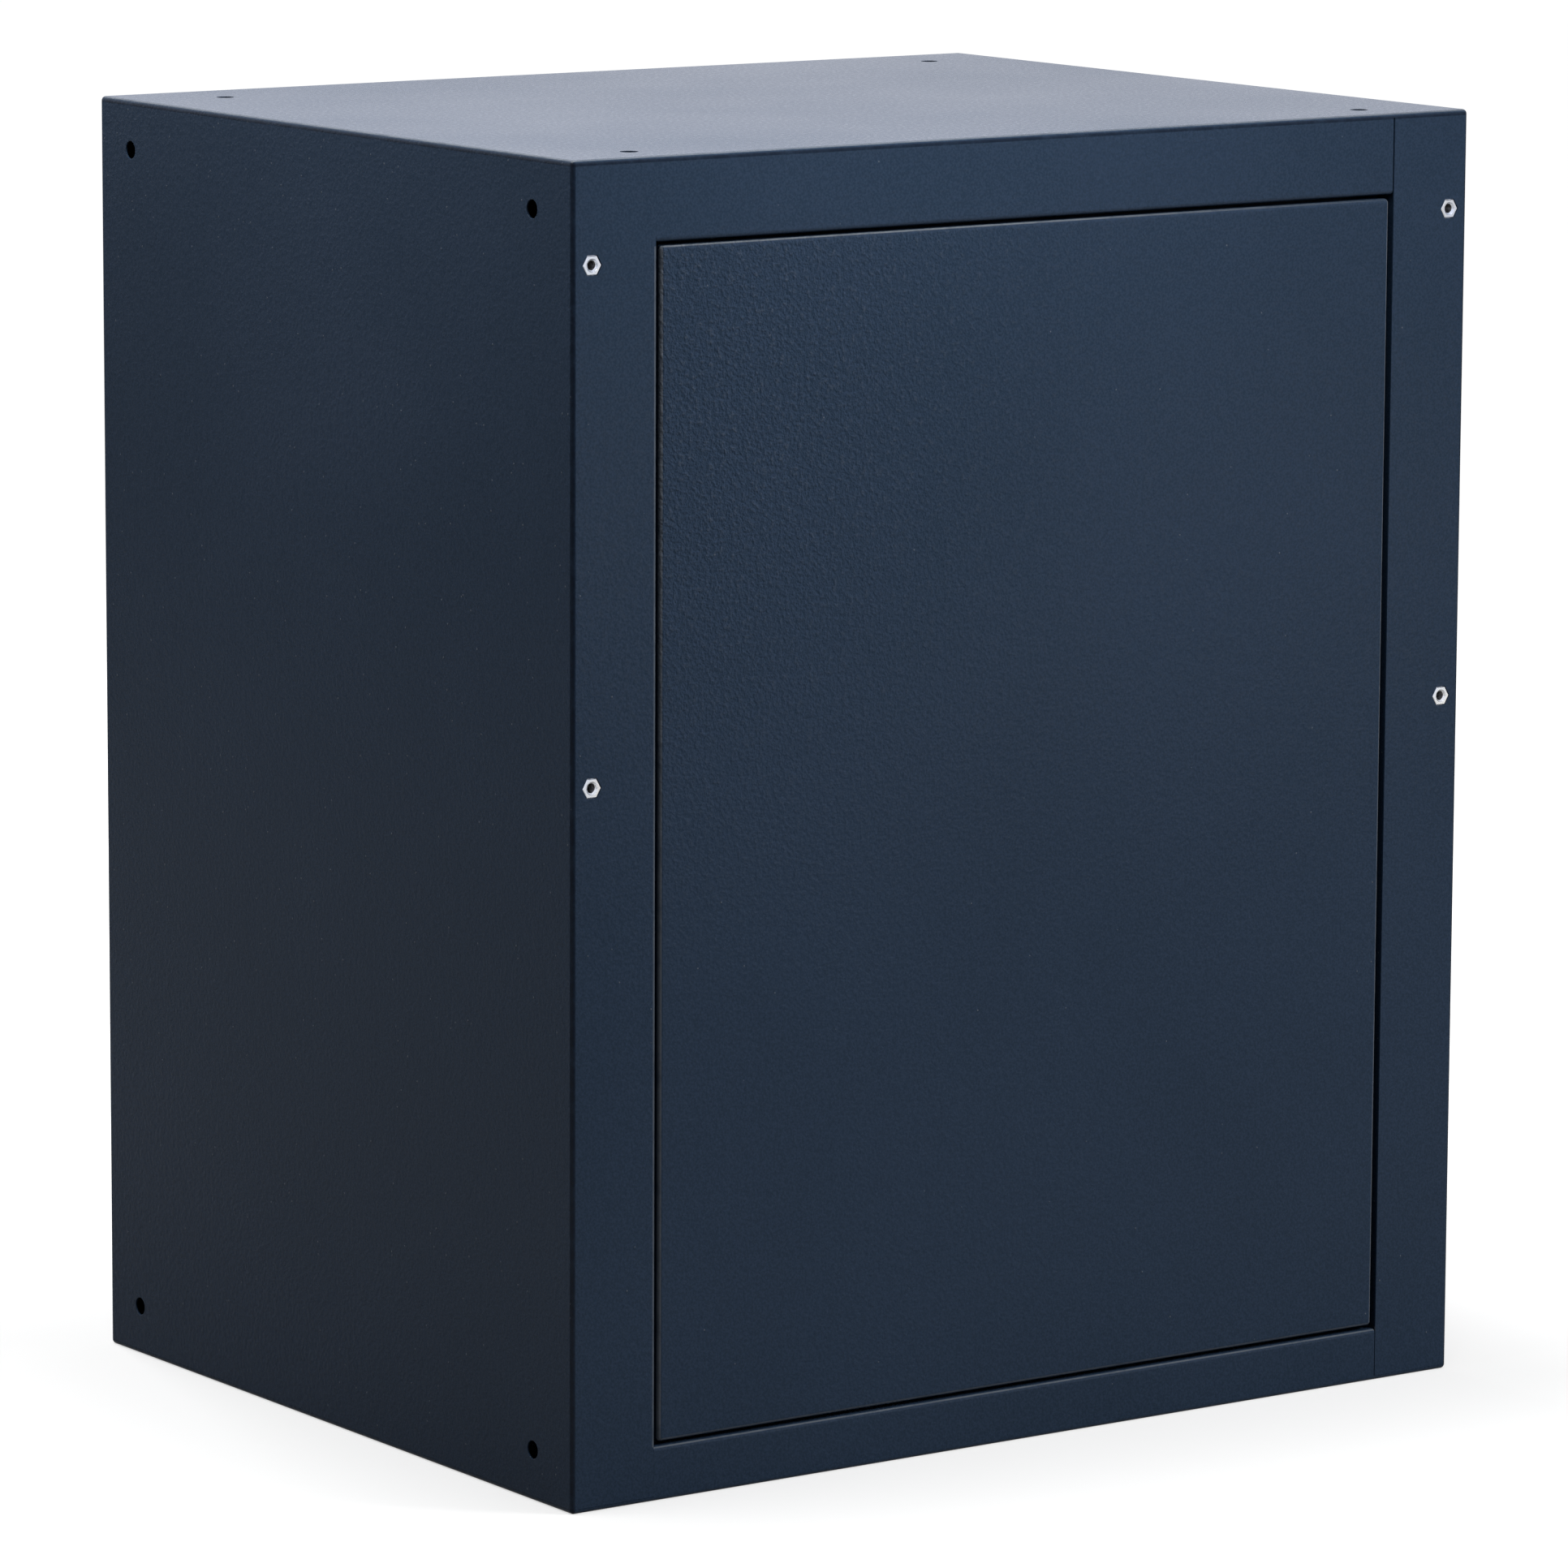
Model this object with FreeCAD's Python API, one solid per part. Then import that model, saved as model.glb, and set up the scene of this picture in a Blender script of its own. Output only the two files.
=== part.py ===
import FreeCAD, Part
import math
import os

from FreeCAD import Vector

# Workshop cabinet: a folded and welded sheet steel carcass with one lockable door.
# X is the width, Y the depth with the door at -Y and the inset panel at +Y, Z is up from the floor.

# Carcass sheets
WIDTH = 600.0
DEPTH = 480.0
HEIGHT = 720.0
SHEET = 1.2
BEND_INNER = 1.3
REAR_STILE = 52.5
FRONT_STILE = 28.0
TOP_RAIL = 45.0
BOTTOM_RAIL = 30.0
REAR_LIP = 16.0
STILE_LIP = 18.0
SEAM_GAP = 0.5
SEAM_CLOSED = 0.1
TOP_SEAM_OPEN = 1.0
BOTTOM_SEAM_OPEN = 0.5

# Fixing holes in the carcass
FIXING_HOLE_D = 10.0
SIDE_HOLE_FROM_REAR = 38.0
SIDE_HOLE_FROM_FRONT = 33.0
SIDE_HOLE_FROM_END = 28.0
TOP_HOLE_FROM_SIDE = 55.0
TOP_HOLE_FROM_REAR = 29.0
TOP_HOLE_FROM_FRONT = 45.0

# Inset rear panel with its two rails and screws
PANEL_GAP_SIDE = 3.0
PANEL_GAP_END = 2.2
PANEL_DEPTH = 20.0
RAIL_SETBACK = 2.5
RAIL_LEG = 26.0
PANEL_LIP_SHORT = 3.0
PANEL_LIP_REACH = 12.0
PANEL_SCREWS_PER_SIDE = 4
PANEL_SCREW_END = 60.0
SCREW_D = 5.0
SCREW_HEAD_D = 9.5
SCREW_HEAD_H = 3.0
SCREW_LENGTH = 10.0
SCREW_CLEARANCE = 0.1

# Hexagonal rivet nuts in the rear stiles
NUT_ACROSS_FLATS = 10.0
NUT_BORE_D = 6.0
NUT_LENGTH = 15.0
NUT_COLLAR_D = 13.0
NUT_COLLAR_H = 3.5
NUT_CLEARANCE = 0.3
NUT_FROM_SIDE = 12.5
NUT_FROM_TOP = 55.0
NUT_SPACING = 275.0

# Slotted shelf posts, clips and the shelf
POST_WIDTH = 28.0
POST_DEPTH = 15.0
FRONT_POST_FROM_FRONT = 80.0
REAR_POST_FROM_REAR = 90.0
SLOT_PITCH = 45.0
SLOT_FIRST = 90.0
SLOT_HEIGHT = 14.0
SHELF_SLOT = 5
CLIP_THICKNESS = 3.0
CLIP_PLAY = 0.2
CLIP_ARM = 18.0
CLIP_HOOK = 2.5
CLIP_NECK = 9.0
CLIP_DROP = 6.0
SHELF_FROM_FRONT = 55.0
SHELF_FROM_REAR = 40.0
SHELF_EDGE = 25.0
SHELF_EDGE_LIP = 10.0
SHELF_SIDE_GAP = 1.5
STIFFENER_WIDTH = 40.0
STIFFENER_DEPTH = 18.0
STIFFENER_END_GAP = 4.0

# Door skin and its pivots
DOOR_SETBACK = 1.5
DOOR_GAP_SIDE = 3.0
DOOR_GAP_END = 2.2
DOOR_DEPTH = 22.0
DOOR_LIP = 14.0
DOOR_RIB_WIDTH = 60.0
DOOR_RIB_DEPTH = 15.0
DOOR_RIB_FLANGE = 12.0
DOOR_RIB_END_GAP = 4.0
DOOR_RIB_FROM_HINGE = 190.0
PIVOT_FROM_EDGE = 14.0
PIVOT_FROM_FACE = 8.5
PIN_D = 8.0
PIN_HEAD_D = 12.0
PIN_HEAD_H = 3.0
PIN_REACH = 18.0
PIN_CLEARANCE = 0.08
BUSH_D = 12.0
BUSH_LENGTH = 16.0
BUSH_FLANGE_D = 15.0
BUSH_UPPER_FLANGE = 1.2
BUSH_CLEARANCE = 0.1

# Door stops and rubber buffers
STOP_WIDTH = 18.0
STOP_FROM_EDGE = 24.0
STOP_REACH = 16.0
STOP_DROP = 20.0
BUFFER_D = 10.0
BUFFER_T = 2.0
BUFFER_FROM_RAIL = 12.0

# Recessed handle, key barrel and two-point rod lock
LOCK_FROM_EDGE = 78.0
DISH_D = 100.0
DISH_FLANGE = 6.0
DISH_FLANGE_T = 1.2
DISH_WALL = 1.5
DISH_CLEARANCE = 0.3
BOSS_D = 11.0
BOSS_OFFSET = 36.0
HUB_D = 28.0
GRIP_LENGTH = 80.0
GRIP_WIDTH = 13.0
GRIP_UNDERCUT = 6.0
GRIP_BELOW_RIM = 0.8
GRIP_FLOOR_GAP = 0.2
SPINDLE_D = 12.0
TAIL_D = 10.0
TAIL_FLAT = 1.5
SPINDLE_CLEARANCE = 0.08
KEY_D = 14.0
KEY_DEPTH = 11.0
KEY_CLEARANCE = 0.05
KEYWAY_WIDTH = 1.6
KEYWAY_LENGTH = 8.0
KEYWAY_DEPTH = 7.0
DISC_MARGIN = 5.0
DISC_T = 4.0
DISC_GAP = 0.5
CRANK_RADIUS = 18.0
CRANK_PIN_D = 5.0
CRANK_PIN_PROUD = 0.7
ROD_WIDTH = 12.0
ROD_T = 4.0
ROD_PLAY = 0.8
ROD_DISC_GAP = 0.3
ROD_SLOT_PLAY = 0.9
ROD_SLOT_WALL = 3.0
ROD_TIP_DROP = 2.8
ROD_TIP_CHAMFER = 3.0
LIP_OVERHANG = 0.5
GUIDE_GAP = 0.4
GUIDE_WALL = 2.0
GUIDE_HEIGHT = 10.0
GUIDE_EAR = 10.0
GUIDE_SCREW_D = 3.0
GUIDE_SCREW_HEAD_D = 5.5
GUIDE_SCREW_HEAD_H = 2.0
BRACKET_T = 2.0
BRACKET_GAP = 2.0
BRACKET_SIDE_GAP = 6.0
BRACKET_FOOT = 10.0
BRACKET_HEIGHT = 96.0
TAIL_NUT_D = 18.0
TAIL_NUT_T = 4.0

# Values worked out from the sizes above
BEND = BEND_INNER + SHEET
HALF_W = WIDTH / 2
HALF_D = DEPTH / 2
HALF_TURN = math.pi / 4

DOOR_FACE = -HALF_D + DOOR_SETBACK
DOOR_BACK = DOOR_FACE + DOOR_DEPTH
SKIN_INSIDE = DOOR_FACE + SHEET
LIP_BACK = DOOR_BACK + LIP_OVERHANG
FRONT_LIP = LIP_BACK + HALF_D
DOOR_RIGHT = HALF_W - FRONT_STILE - DOOR_GAP_SIDE
DOOR_LEFT = -DOOR_RIGHT
DOOR_BOTTOM = BOTTOM_RAIL + DOOR_GAP_END
DOOR_TOP = HEIGHT - TOP_RAIL - DOOR_GAP_END
PIVOT_X = DOOR_LEFT + PIVOT_FROM_EDGE
PIVOT_Y = DOOR_FACE + PIVOT_FROM_FACE

ROD_FRONT = LIP_BACK + ROD_PLAY
ROD_BACK = ROD_FRONT + ROD_T
DISC_BACK = ROD_FRONT - ROD_DISC_GAP
DISC_FRONT = DISC_BACK - DISC_T
DISH_BACK = DISC_FRONT - DISC_GAP
DISH_FLOOR = DISH_BACK - DISH_WALL
DISH_RIM = DOOR_FACE - DISH_FLANGE_T
BRACKET_FRONT = ROD_BACK + BRACKET_GAP
BRACKET_BACK = BRACKET_FRONT + BRACKET_T
LOCK_X = DOOR_RIGHT - LOCK_FROM_EDGE
LOCK_Z = (DOOR_BOTTOM + DOOR_TOP) / 2
PIN_NEAR = CRANK_RADIUS * math.cos(HALF_TURN)

WALL_INSIDE = HALF_W - SHEET
POST_FACE = WALL_INSIDE - POST_DEPTH
FRONT_POST_Y = -HALF_D + FRONT_POST_FROM_FRONT + POST_WIDTH / 2
REAR_POST_Y = HALF_D - REAR_POST_FROM_REAR - POST_WIDTH / 2
SHELF_SEAT = SLOT_FIRST + SHELF_SLOT * SLOT_PITCH + CLIP_NECK

OPENING_X = HALF_W - REAR_STILE
PANEL_X = OPENING_X - PANEL_GAP_SIDE
PANEL_BOTTOM = BOTTOM_RAIL + PANEL_GAP_END
PANEL_TOP = HEIGHT - TOP_RAIL - PANEL_GAP_END
PANEL_FRONT = HALF_D - PANEL_DEPTH
RAIL_X = OPENING_X + RAIL_SETBACK
RAIL_FRONT = PANEL_FRONT + SHEET
NUT_HEIGHTS = (HEIGHT - NUT_FROM_TOP, HEIGHT - NUT_FROM_TOP - NUT_SPACING)


def box(x0, x1, y0, y1, z0, z1):
    return Part.makeBox(x1 - x0, y1 - y0, z1 - z0, Vector(x0, y0, z0))


def rounded_box(x0, x1, y0, y1, z0, z1, radius):
    block = box(x0, x1, y0, y1, z0, z1)
    return block.makeFillet(radius, block.Edges)


def rod_x(diameter, x0, x1, y, z):
    return Part.makeCylinder(diameter / 2, x1 - x0, Vector(x0, y, z), Vector(1, 0, 0))


def rod_y(diameter, y0, y1, x, z):
    return Part.makeCylinder(diameter / 2, y1 - y0, Vector(x, y0, z), Vector(0, 1, 0))


def rod_z(diameter, z0, z1, x, y):
    return Part.makeCylinder(diameter / 2, z1 - z0, Vector(x, y, z0))


def hexagon_y(across_flats, y0, y1, x, z):
    """Hexagonal bar along Y with flats at top and bottom."""
    radius = across_flats / math.sqrt(3)
    turns = [math.radians(60 * corner) for corner in range(7)]
    points = [Vector(x + radius * math.cos(a), y0, z + radius * math.sin(a)) for a in turns]
    return Part.Face(Part.makePolygon(points)).extrude(Vector(0, y1 - y0, 0))


def prism_y(outline, y0, y1):
    """Solid along Y from corner points given as (x, z)."""
    points = [Vector(x, y0, z) for x, z in outline + outline[:1]]
    return Part.Face(Part.makePolygon(points)).extrude(Vector(0, y1 - y0, 0))


def mirror_x(shape):
    return shape.mirror(Vector(0, 0, 0), Vector(1, 0, 0))


def mirror_z(shape, level):
    return shape.mirror(Vector(0, 0, level), Vector(0, 0, 1))


def fuse(first, *others):
    return first.multiFuse(list(others)).removeSplitter()


def cut(shape, tools):
    return shape.cut(Part.makeCompound(tools))


def left_of(direction):
    return Vector(-direction.y, direction.x, 0)


def bent_line(points, offset, radii, place):
    """Edges of a folded line moved sideways by offset, with an arc at each inner point."""
    runs = [(b - a).normalize() for a, b in zip(points, points[1:])]
    start = points[0] + left_of(runs[0]) * offset
    edges = []
    for corner, before, after, radius in zip(points[1:], runs, runs[1:], radii):
        normals = left_of(before) + left_of(after)
        moved = corner + normals * (offset / (1 + before.dot(after)))
        half = before.getAngle(after) / 2
        inward = (after - before).normalize()
        centre = moved + inward * (radius / math.cos(half))
        bend_start = moved - before * (radius * math.tan(half))
        bend_end = moved + after * (radius * math.tan(half))
        bend_middle = centre - inward * radius
        edges.append(Part.LineSegment(place(start), place(bend_start)).toShape())
        edges.append(Part.Arc(place(bend_start), place(bend_middle), place(bend_end)).toShape())
        start = bend_end
    end = points[-1] + left_of(runs[-1]) * offset
    edges.append(Part.LineSegment(place(start), place(end)).toShape())
    return edges


def folded_sheet(corners, thickness, place, along):
    """Bent sheet: one face follows the corners, the other lies thickness to the left of it."""
    points = [Vector(u, v, 0) for u, v in corners]
    turns = []
    for before, corner, after in zip(points, points[1:], points[2:]):
        turns.append((corner - before).cross(after - corner).z)
    outer = BEND_INNER + abs(thickness)
    near = bent_line(points, 0, [outer if t * thickness > 0 else BEND_INNER for t in turns], place)
    far = bent_line(points, thickness, [BEND_INNER if t * thickness > 0 else outer for t in turns], place)
    ends = []
    for tip in (0, -1):
        ends.append(Part.LineSegment(near[tip].Vertexes[tip].Point, far[tip].Vertexes[tip].Point).toShape())
    wire = Part.Wire(Part.__sortEdges__(near + far + ends))
    return Part.Face(wire).extrude(along)


def plan_at(level):
    return lambda point: Vector(point.x, point.y, level)


def section_at(x):
    return lambda point: Vector(x, point.x, point.y)


def rail_flange(edge, lip_end, rail, x0, x1, inward):
    """Rail folded down from the top sheet at one edge, with a lip folded into the cabinet."""
    corners = [(edge, HEIGHT - BEND), (edge, HEIGHT - rail), (lip_end, HEIGHT - rail)]
    return folded_sheet(corners, inward * SHEET, section_at(x0), Vector(x1 - x0, 0, 0))


def cap_panel(rail, open_seam):
    """Top sheet with rounded edges all round, a front and a rear rail and four fixing holes.

    The rear rail meets the right stile closely and leaves the open seam at the left one.
    """
    deep = 6 * BEND
    outer = rounded_box(-HALF_W, HALF_W, -HALF_D, HALF_D, HEIGHT - deep, HEIGHT, BEND)
    inner = rounded_box(-WALL_INSIDE, WALL_INSIDE, -HALF_D + SHEET, HALF_D - SHEET,
                        HEIGHT - 2 * deep, HEIGHT - SHEET, BEND_INNER)
    keep = box(-HALF_W, HALF_W, -HALF_D, HALF_D, HEIGHT - BEND, HEIGHT)
    sheet = outer.cut(inner).common(keep)
    rear = rail_flange(HALF_D, HALF_D - REAR_LIP, rail, open_seam - OPENING_X, OPENING_X - SEAM_CLOSED, -1)
    front_half = HALF_W - FRONT_STILE - SEAM_GAP
    front = rail_flange(-HALF_D, LIP_BACK, rail, -front_half, front_half, 1)
    holes = []
    for x in (TOP_HOLE_FROM_SIDE - HALF_W, HALF_W - TOP_HOLE_FROM_SIDE):
        for y in (TOP_HOLE_FROM_FRONT - HALF_D, HALF_D - TOP_HOLE_FROM_REAR):
            holes.append(rod_z(FIXING_HOLE_D, HEIGHT - 2 * SHEET, HEIGHT + SHEET, x, y))
    lip = HEIGHT - rail
    holes.append(rod_z(PIN_D + 2 * PIN_CLEARANCE, lip - SHEET, lip + 2 * SHEET, PIVOT_X, PIVOT_Y))
    return cut(fuse(sheet, rear, front), holes)


def side_panel():
    """Right side wall with the rear stile, the front stile and its lip folded from one sheet."""
    corners = [(OPENING_X, HALF_D), (HALF_W, HALF_D), (HALF_W, -HALF_D),
               (HALF_W - FRONT_STILE, -HALF_D), (HALF_W - FRONT_STILE, -HALF_D + STILE_LIP)]
    wall = folded_sheet(corners, -SHEET, plan_at(BEND), Vector(0, 0, HEIGHT - 2 * BEND))
    holes = []
    for y in (SIDE_HOLE_FROM_FRONT - HALF_D, HALF_D - SIDE_HOLE_FROM_REAR):
        for z in (SIDE_HOLE_FROM_END, HEIGHT - SIDE_HOLE_FROM_END):
            holes.append(rod_x(FIXING_HOLE_D, HALF_W - 2 * SHEET, HALF_W + SHEET, y, z))
    for z in NUT_HEIGHTS:
        seat = NUT_ACROSS_FLATS + 2 * NUT_CLEARANCE
        holes.append(hexagon_y(seat, HALF_D - 2 * SHEET, HALF_D + SHEET, HALF_W - NUT_FROM_SIDE, z))
    return cut(wall, holes)


def rivet_nut(x, z):
    body = hexagon_y(NUT_ACROSS_FLATS, HALF_D - NUT_LENGTH, HALF_D, x, z)
    collar_back = HALF_D - SHEET
    collar = rod_y(NUT_COLLAR_D, collar_back - NUT_COLLAR_H, collar_back, x, z)
    bore = rod_y(NUT_BORE_D, HALF_D - 2 * NUT_LENGTH, HALF_D + NUT_LENGTH, x, z)
    return body.fuse(collar).removeSplitter().cut(bore)


def rivet_nuts():
    x = HALF_W - NUT_FROM_SIDE
    return Part.makeCompound([rivet_nut(side * x, z) for side in (-1, 1) for z in NUT_HEIGHTS])


def panel_screw_places():
    """Centres of the rear panel screws as (x, z)."""
    x = RAIL_X + RAIL_LEG / 2
    low = PANEL_BOTTOM + PANEL_SCREW_END
    step = (PANEL_TOP - PANEL_SCREW_END - low) / (PANEL_SCREWS_PER_SIDE - 1)
    return [(side * x, low + row * step) for side in (-1, 1) for row in range(PANEL_SCREWS_PER_SIDE)]


def panel_screw_holes():
    hole = SCREW_D + 2 * SCREW_CLEARANCE
    return [rod_y(hole, PANEL_FRONT - SHEET, RAIL_FRONT + 2 * SHEET, x, z) for x, z in panel_screw_places()]


def rear_panel():
    """Shallow pan, flush with the rear stiles, with a lip all round that covers the gap and meets the rails."""
    outer = rounded_box(-PANEL_X, PANEL_X, PANEL_FRONT - 2 * BEND, HALF_D, PANEL_BOTTOM, PANEL_TOP, BEND)
    inner = rounded_box(-PANEL_X + SHEET, PANEL_X - SHEET, PANEL_FRONT - 4 * BEND, HALF_D - SHEET,
                        PANEL_BOTTOM + SHEET, PANEL_TOP - SHEET, BEND_INNER)
    keep = box(-HALF_W, HALF_W, PANEL_FRONT, HALF_D, 0, HEIGHT)
    pan = outer.cut(inner).common(keep)
    lip_end = RAIL_X + RAIL_LEG - PANEL_LIP_SHORT
    lip = box(-lip_end, lip_end, PANEL_FRONT, RAIL_FRONT,
              PANEL_BOTTOM - PANEL_LIP_REACH, PANEL_TOP + PANEL_LIP_REACH)
    mouth = box(-PANEL_X + SHEET, PANEL_X - SHEET, PANEL_FRONT - SHEET, RAIL_FRONT + SHEET,
                PANEL_BOTTOM + SHEET, PANEL_TOP - SHEET)
    return cut(fuse(pan, lip.cut(mouth)), panel_screw_holes())


def rear_rail():
    """Right channel behind the rear stile that carries the rear panel's lip."""
    rear = HALF_D - SHEET
    corners = [(RAIL_X + RAIL_LEG, rear), (RAIL_X, rear), (RAIL_X, RAIL_FRONT),
               (RAIL_X + RAIL_LEG, RAIL_FRONT)]
    channel = folded_sheet(corners, SHEET, plan_at(BEND), Vector(0, 0, HEIGHT - 2 * BEND))
    return cut(channel, panel_screw_holes())


def screw(x, z, head_seat):
    """Pan head screw along Y with its head in front of the seat."""
    head = rod_y(SCREW_HEAD_D, head_seat - SCREW_HEAD_H, head_seat, x, z)
    return head.fuse(rod_y(SCREW_D, head_seat, head_seat + SCREW_LENGTH, x, z)).removeSplitter()


def rear_panel_screws():
    return Part.makeCompound([screw(x, z, PANEL_FRONT) for x, z in panel_screw_places()])


def slot_levels():
    top = HEIGHT - SLOT_FIRST
    return [SLOT_FIRST + row * SLOT_PITCH for row in range(int((top - SLOT_FIRST) / SLOT_PITCH) + 1)]


def shelf_post(y):
    """Right channel on the side wall with a column of slots."""
    low = y - POST_WIDTH / 2
    high = y + POST_WIDTH / 2
    corners = [(WALL_INSIDE, low), (POST_FACE, low), (POST_FACE, high), (WALL_INSIDE, high)]
    post = folded_sheet(corners, -SHEET, plan_at(BEND), Vector(0, 0, HEIGHT - 2 * BEND))
    half = CLIP_THICKNESS / 2 + CLIP_PLAY
    slots = []
    for z in slot_levels():
        slots.append(box(POST_FACE - SHEET, POST_FACE + 2 * SHEET, y - half, y + half, z, z + SLOT_HEIGHT))
    return cut(post, slots)


def shelf_clip(y):
    """Flat hook that hangs in a slot of the right post and carries the shelf on its arm."""
    low = SHELF_SEAT - CLIP_NECK
    hook_back = POST_FACE + SHEET + CLIP_HOOK
    outline = [(POST_FACE - CLIP_ARM, SHELF_SEAT), (POST_FACE - CLIP_ARM, low + CLIP_NECK / 2),
               (POST_FACE, low - CLIP_DROP), (POST_FACE, low), (POST_FACE + SHEET, low),
               (POST_FACE + SHEET, low - CLIP_DROP), (hook_back, low - CLIP_DROP), (hook_back, SHELF_SEAT)]
    return prism_y(outline, y - CLIP_THICKNESS / 2, y + CLIP_THICKNESS / 2)


def shelf_clips():
    right = [shelf_clip(FRONT_POST_Y), shelf_clip(REAR_POST_Y)]
    return Part.makeCompound(right + [mirror_x(clip) for clip in right])


def shelf_tray():
    """Shelf deck with its front and rear edges folded down and in."""
    front = -HALF_D + SHELF_FROM_FRONT
    rear = HALF_D - SHELF_FROM_REAR
    top = SHELF_SEAT + SHEET
    low = top - SHELF_EDGE
    corners = [(front + SHELF_EDGE_LIP, low), (front, low), (front, top),
               (rear, top), (rear, low), (rear - SHELF_EDGE_LIP, low)]
    half = POST_FACE - SHELF_SIDE_GAP
    return folded_sheet(corners, -SHEET, section_at(-half), Vector(2 * half, 0, 0))


def shelf_stiffener():
    """Channel under the middle of the shelf, open towards the deck."""
    middle = (SHELF_FROM_FRONT - SHELF_FROM_REAR) / 2
    low = SHELF_SEAT - STIFFENER_DEPTH
    half_width = STIFFENER_WIDTH / 2
    corners = [(middle - half_width, SHELF_SEAT), (middle - half_width, low),
               (middle + half_width, low), (middle + half_width, SHELF_SEAT)]
    half = POST_FACE - CLIP_ARM - STIFFENER_END_GAP
    return folded_sheet(corners, SHEET, section_at(-half), Vector(2 * half, 0, 0))


def door_skin():
    """Door pan with lips folded in all round, and holes for the dish and the pivot bushes."""
    outer = rounded_box(DOOR_LEFT, DOOR_RIGHT, DOOR_FACE, DOOR_BACK, DOOR_BOTTOM, DOOR_TOP, BEND)
    hollow = rounded_box(DOOR_LEFT + SHEET, DOOR_RIGHT - SHEET, SKIN_INSIDE, DOOR_BACK - SHEET,
                         DOOR_BOTTOM + SHEET, DOOR_TOP - SHEET, BEND_INNER)
    window = box(DOOR_LEFT + DOOR_LIP, DOOR_RIGHT - DOOR_LIP, DOOR_BACK - 2 * SHEET, DOOR_BACK + SHEET,
                 DOOR_BOTTOM + DOOR_LIP, DOOR_TOP - DOOR_LIP)
    dish_hole = rod_y(DISH_D + 2 * DISH_CLEARANCE, DOOR_FACE - SHEET, DOOR_FACE + 2 * SHEET, LOCK_X, LOCK_Z)
    bush_hole = BUSH_D + 2 * BUSH_CLEARANCE
    lower = rod_z(bush_hole, DOOR_BOTTOM - SHEET, DOOR_BOTTOM + 2 * SHEET, PIVOT_X, PIVOT_Y)
    upper = rod_z(bush_hole, DOOR_TOP - 2 * SHEET, DOOR_TOP + SHEET, PIVOT_X, PIVOT_Y)
    holes = [window, dish_hole, lower, upper]
    return cut(outer.cut(hollow), holes + guide_screw_holes())


def door_rib():
    """Hat section welded to the inside of the door skin."""
    x = DOOR_LEFT + DOOR_RIB_FROM_HINGE
    crown = SKIN_INSIDE + DOOR_RIB_DEPTH - SHEET
    half = DOOR_RIB_WIDTH / 2
    foot = half + DOOR_RIB_FLANGE
    corners = [(x - foot, SKIN_INSIDE), (x - half, SKIN_INSIDE), (x - half, crown),
               (x + half, crown), (x + half, SKIN_INSIDE), (x + foot, SKIN_INSIDE)]
    low = DOOR_BOTTOM + BEND + DOOR_RIB_END_GAP
    length = DOOR_TOP - BEND - DOOR_RIB_END_GAP - low
    return folded_sheet(corners, SHEET, plan_at(low), Vector(0, 0, length))


def hinge_pin(lip, up):
    """Pivot pin through a rail lip: its head on the cabinet side, its shank into the door."""
    inside = lip - up * SHEET
    head_end = inside - up * PIN_HEAD_H
    tip = lip + up * (DOOR_GAP_END + PIN_REACH)
    head = rod_z(PIN_HEAD_D, min(inside, head_end), max(inside, head_end), PIVOT_X, PIVOT_Y)
    shank = rod_z(PIN_D, min(inside, tip), max(inside, tip), PIVOT_X, PIVOT_Y)
    return head.fuse(shank).removeSplitter()


def hinge_bush(edge, up, flange):
    """Flanged bush in the door's edge, with the flange outside."""
    outside = edge - up * flange
    inside = edge + up * BUSH_LENGTH
    sleeve = rod_z(BUSH_D, min(edge, inside), max(edge, inside), PIVOT_X, PIVOT_Y)
    collar = rod_z(BUSH_FLANGE_D, min(edge, outside), max(edge, outside), PIVOT_X, PIVOT_Y)
    bore = rod_z(PIN_D + 2 * PIN_CLEARANCE, 0, HEIGHT, PIVOT_X, PIVOT_Y)
    return sleeve.fuse(collar).removeSplitter().cut(bore)


def door_stop():
    """Upper stop: an angle on the rail's lip with a leg behind the door."""
    seat = HEIGHT - TOP_RAIL + SHEET
    face = DOOR_BACK + BUFFER_T
    corners = [(face - STOP_REACH, seat), (face, seat), (face, seat - STOP_DROP)]
    x = DOOR_RIGHT - STOP_FROM_EDGE
    return folded_sheet(corners, SHEET, section_at(x - STOP_WIDTH / 2), Vector(STOP_WIDTH, 0, 0))


def door_buffer():
    """Upper rubber buffer between the stop's leg and the back of the door."""
    x = DOOR_RIGHT - STOP_FROM_EDGE
    z = HEIGHT - TOP_RAIL - BUFFER_FROM_RAIL
    return rod_y(BUFFER_D, DOOR_BACK, DOOR_BACK + BUFFER_T, x, z)


def to_lower_rail(shape):
    """Copy of a piece at the top rail, turned over to the bottom rail."""
    return mirror_z(shape, (HEIGHT - TOP_RAIL + BOTTOM_RAIL) / 2)


def boss_heights():
    return (LOCK_Z - BOSS_OFFSET, LOCK_Z + BOSS_OFFSET)


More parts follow.
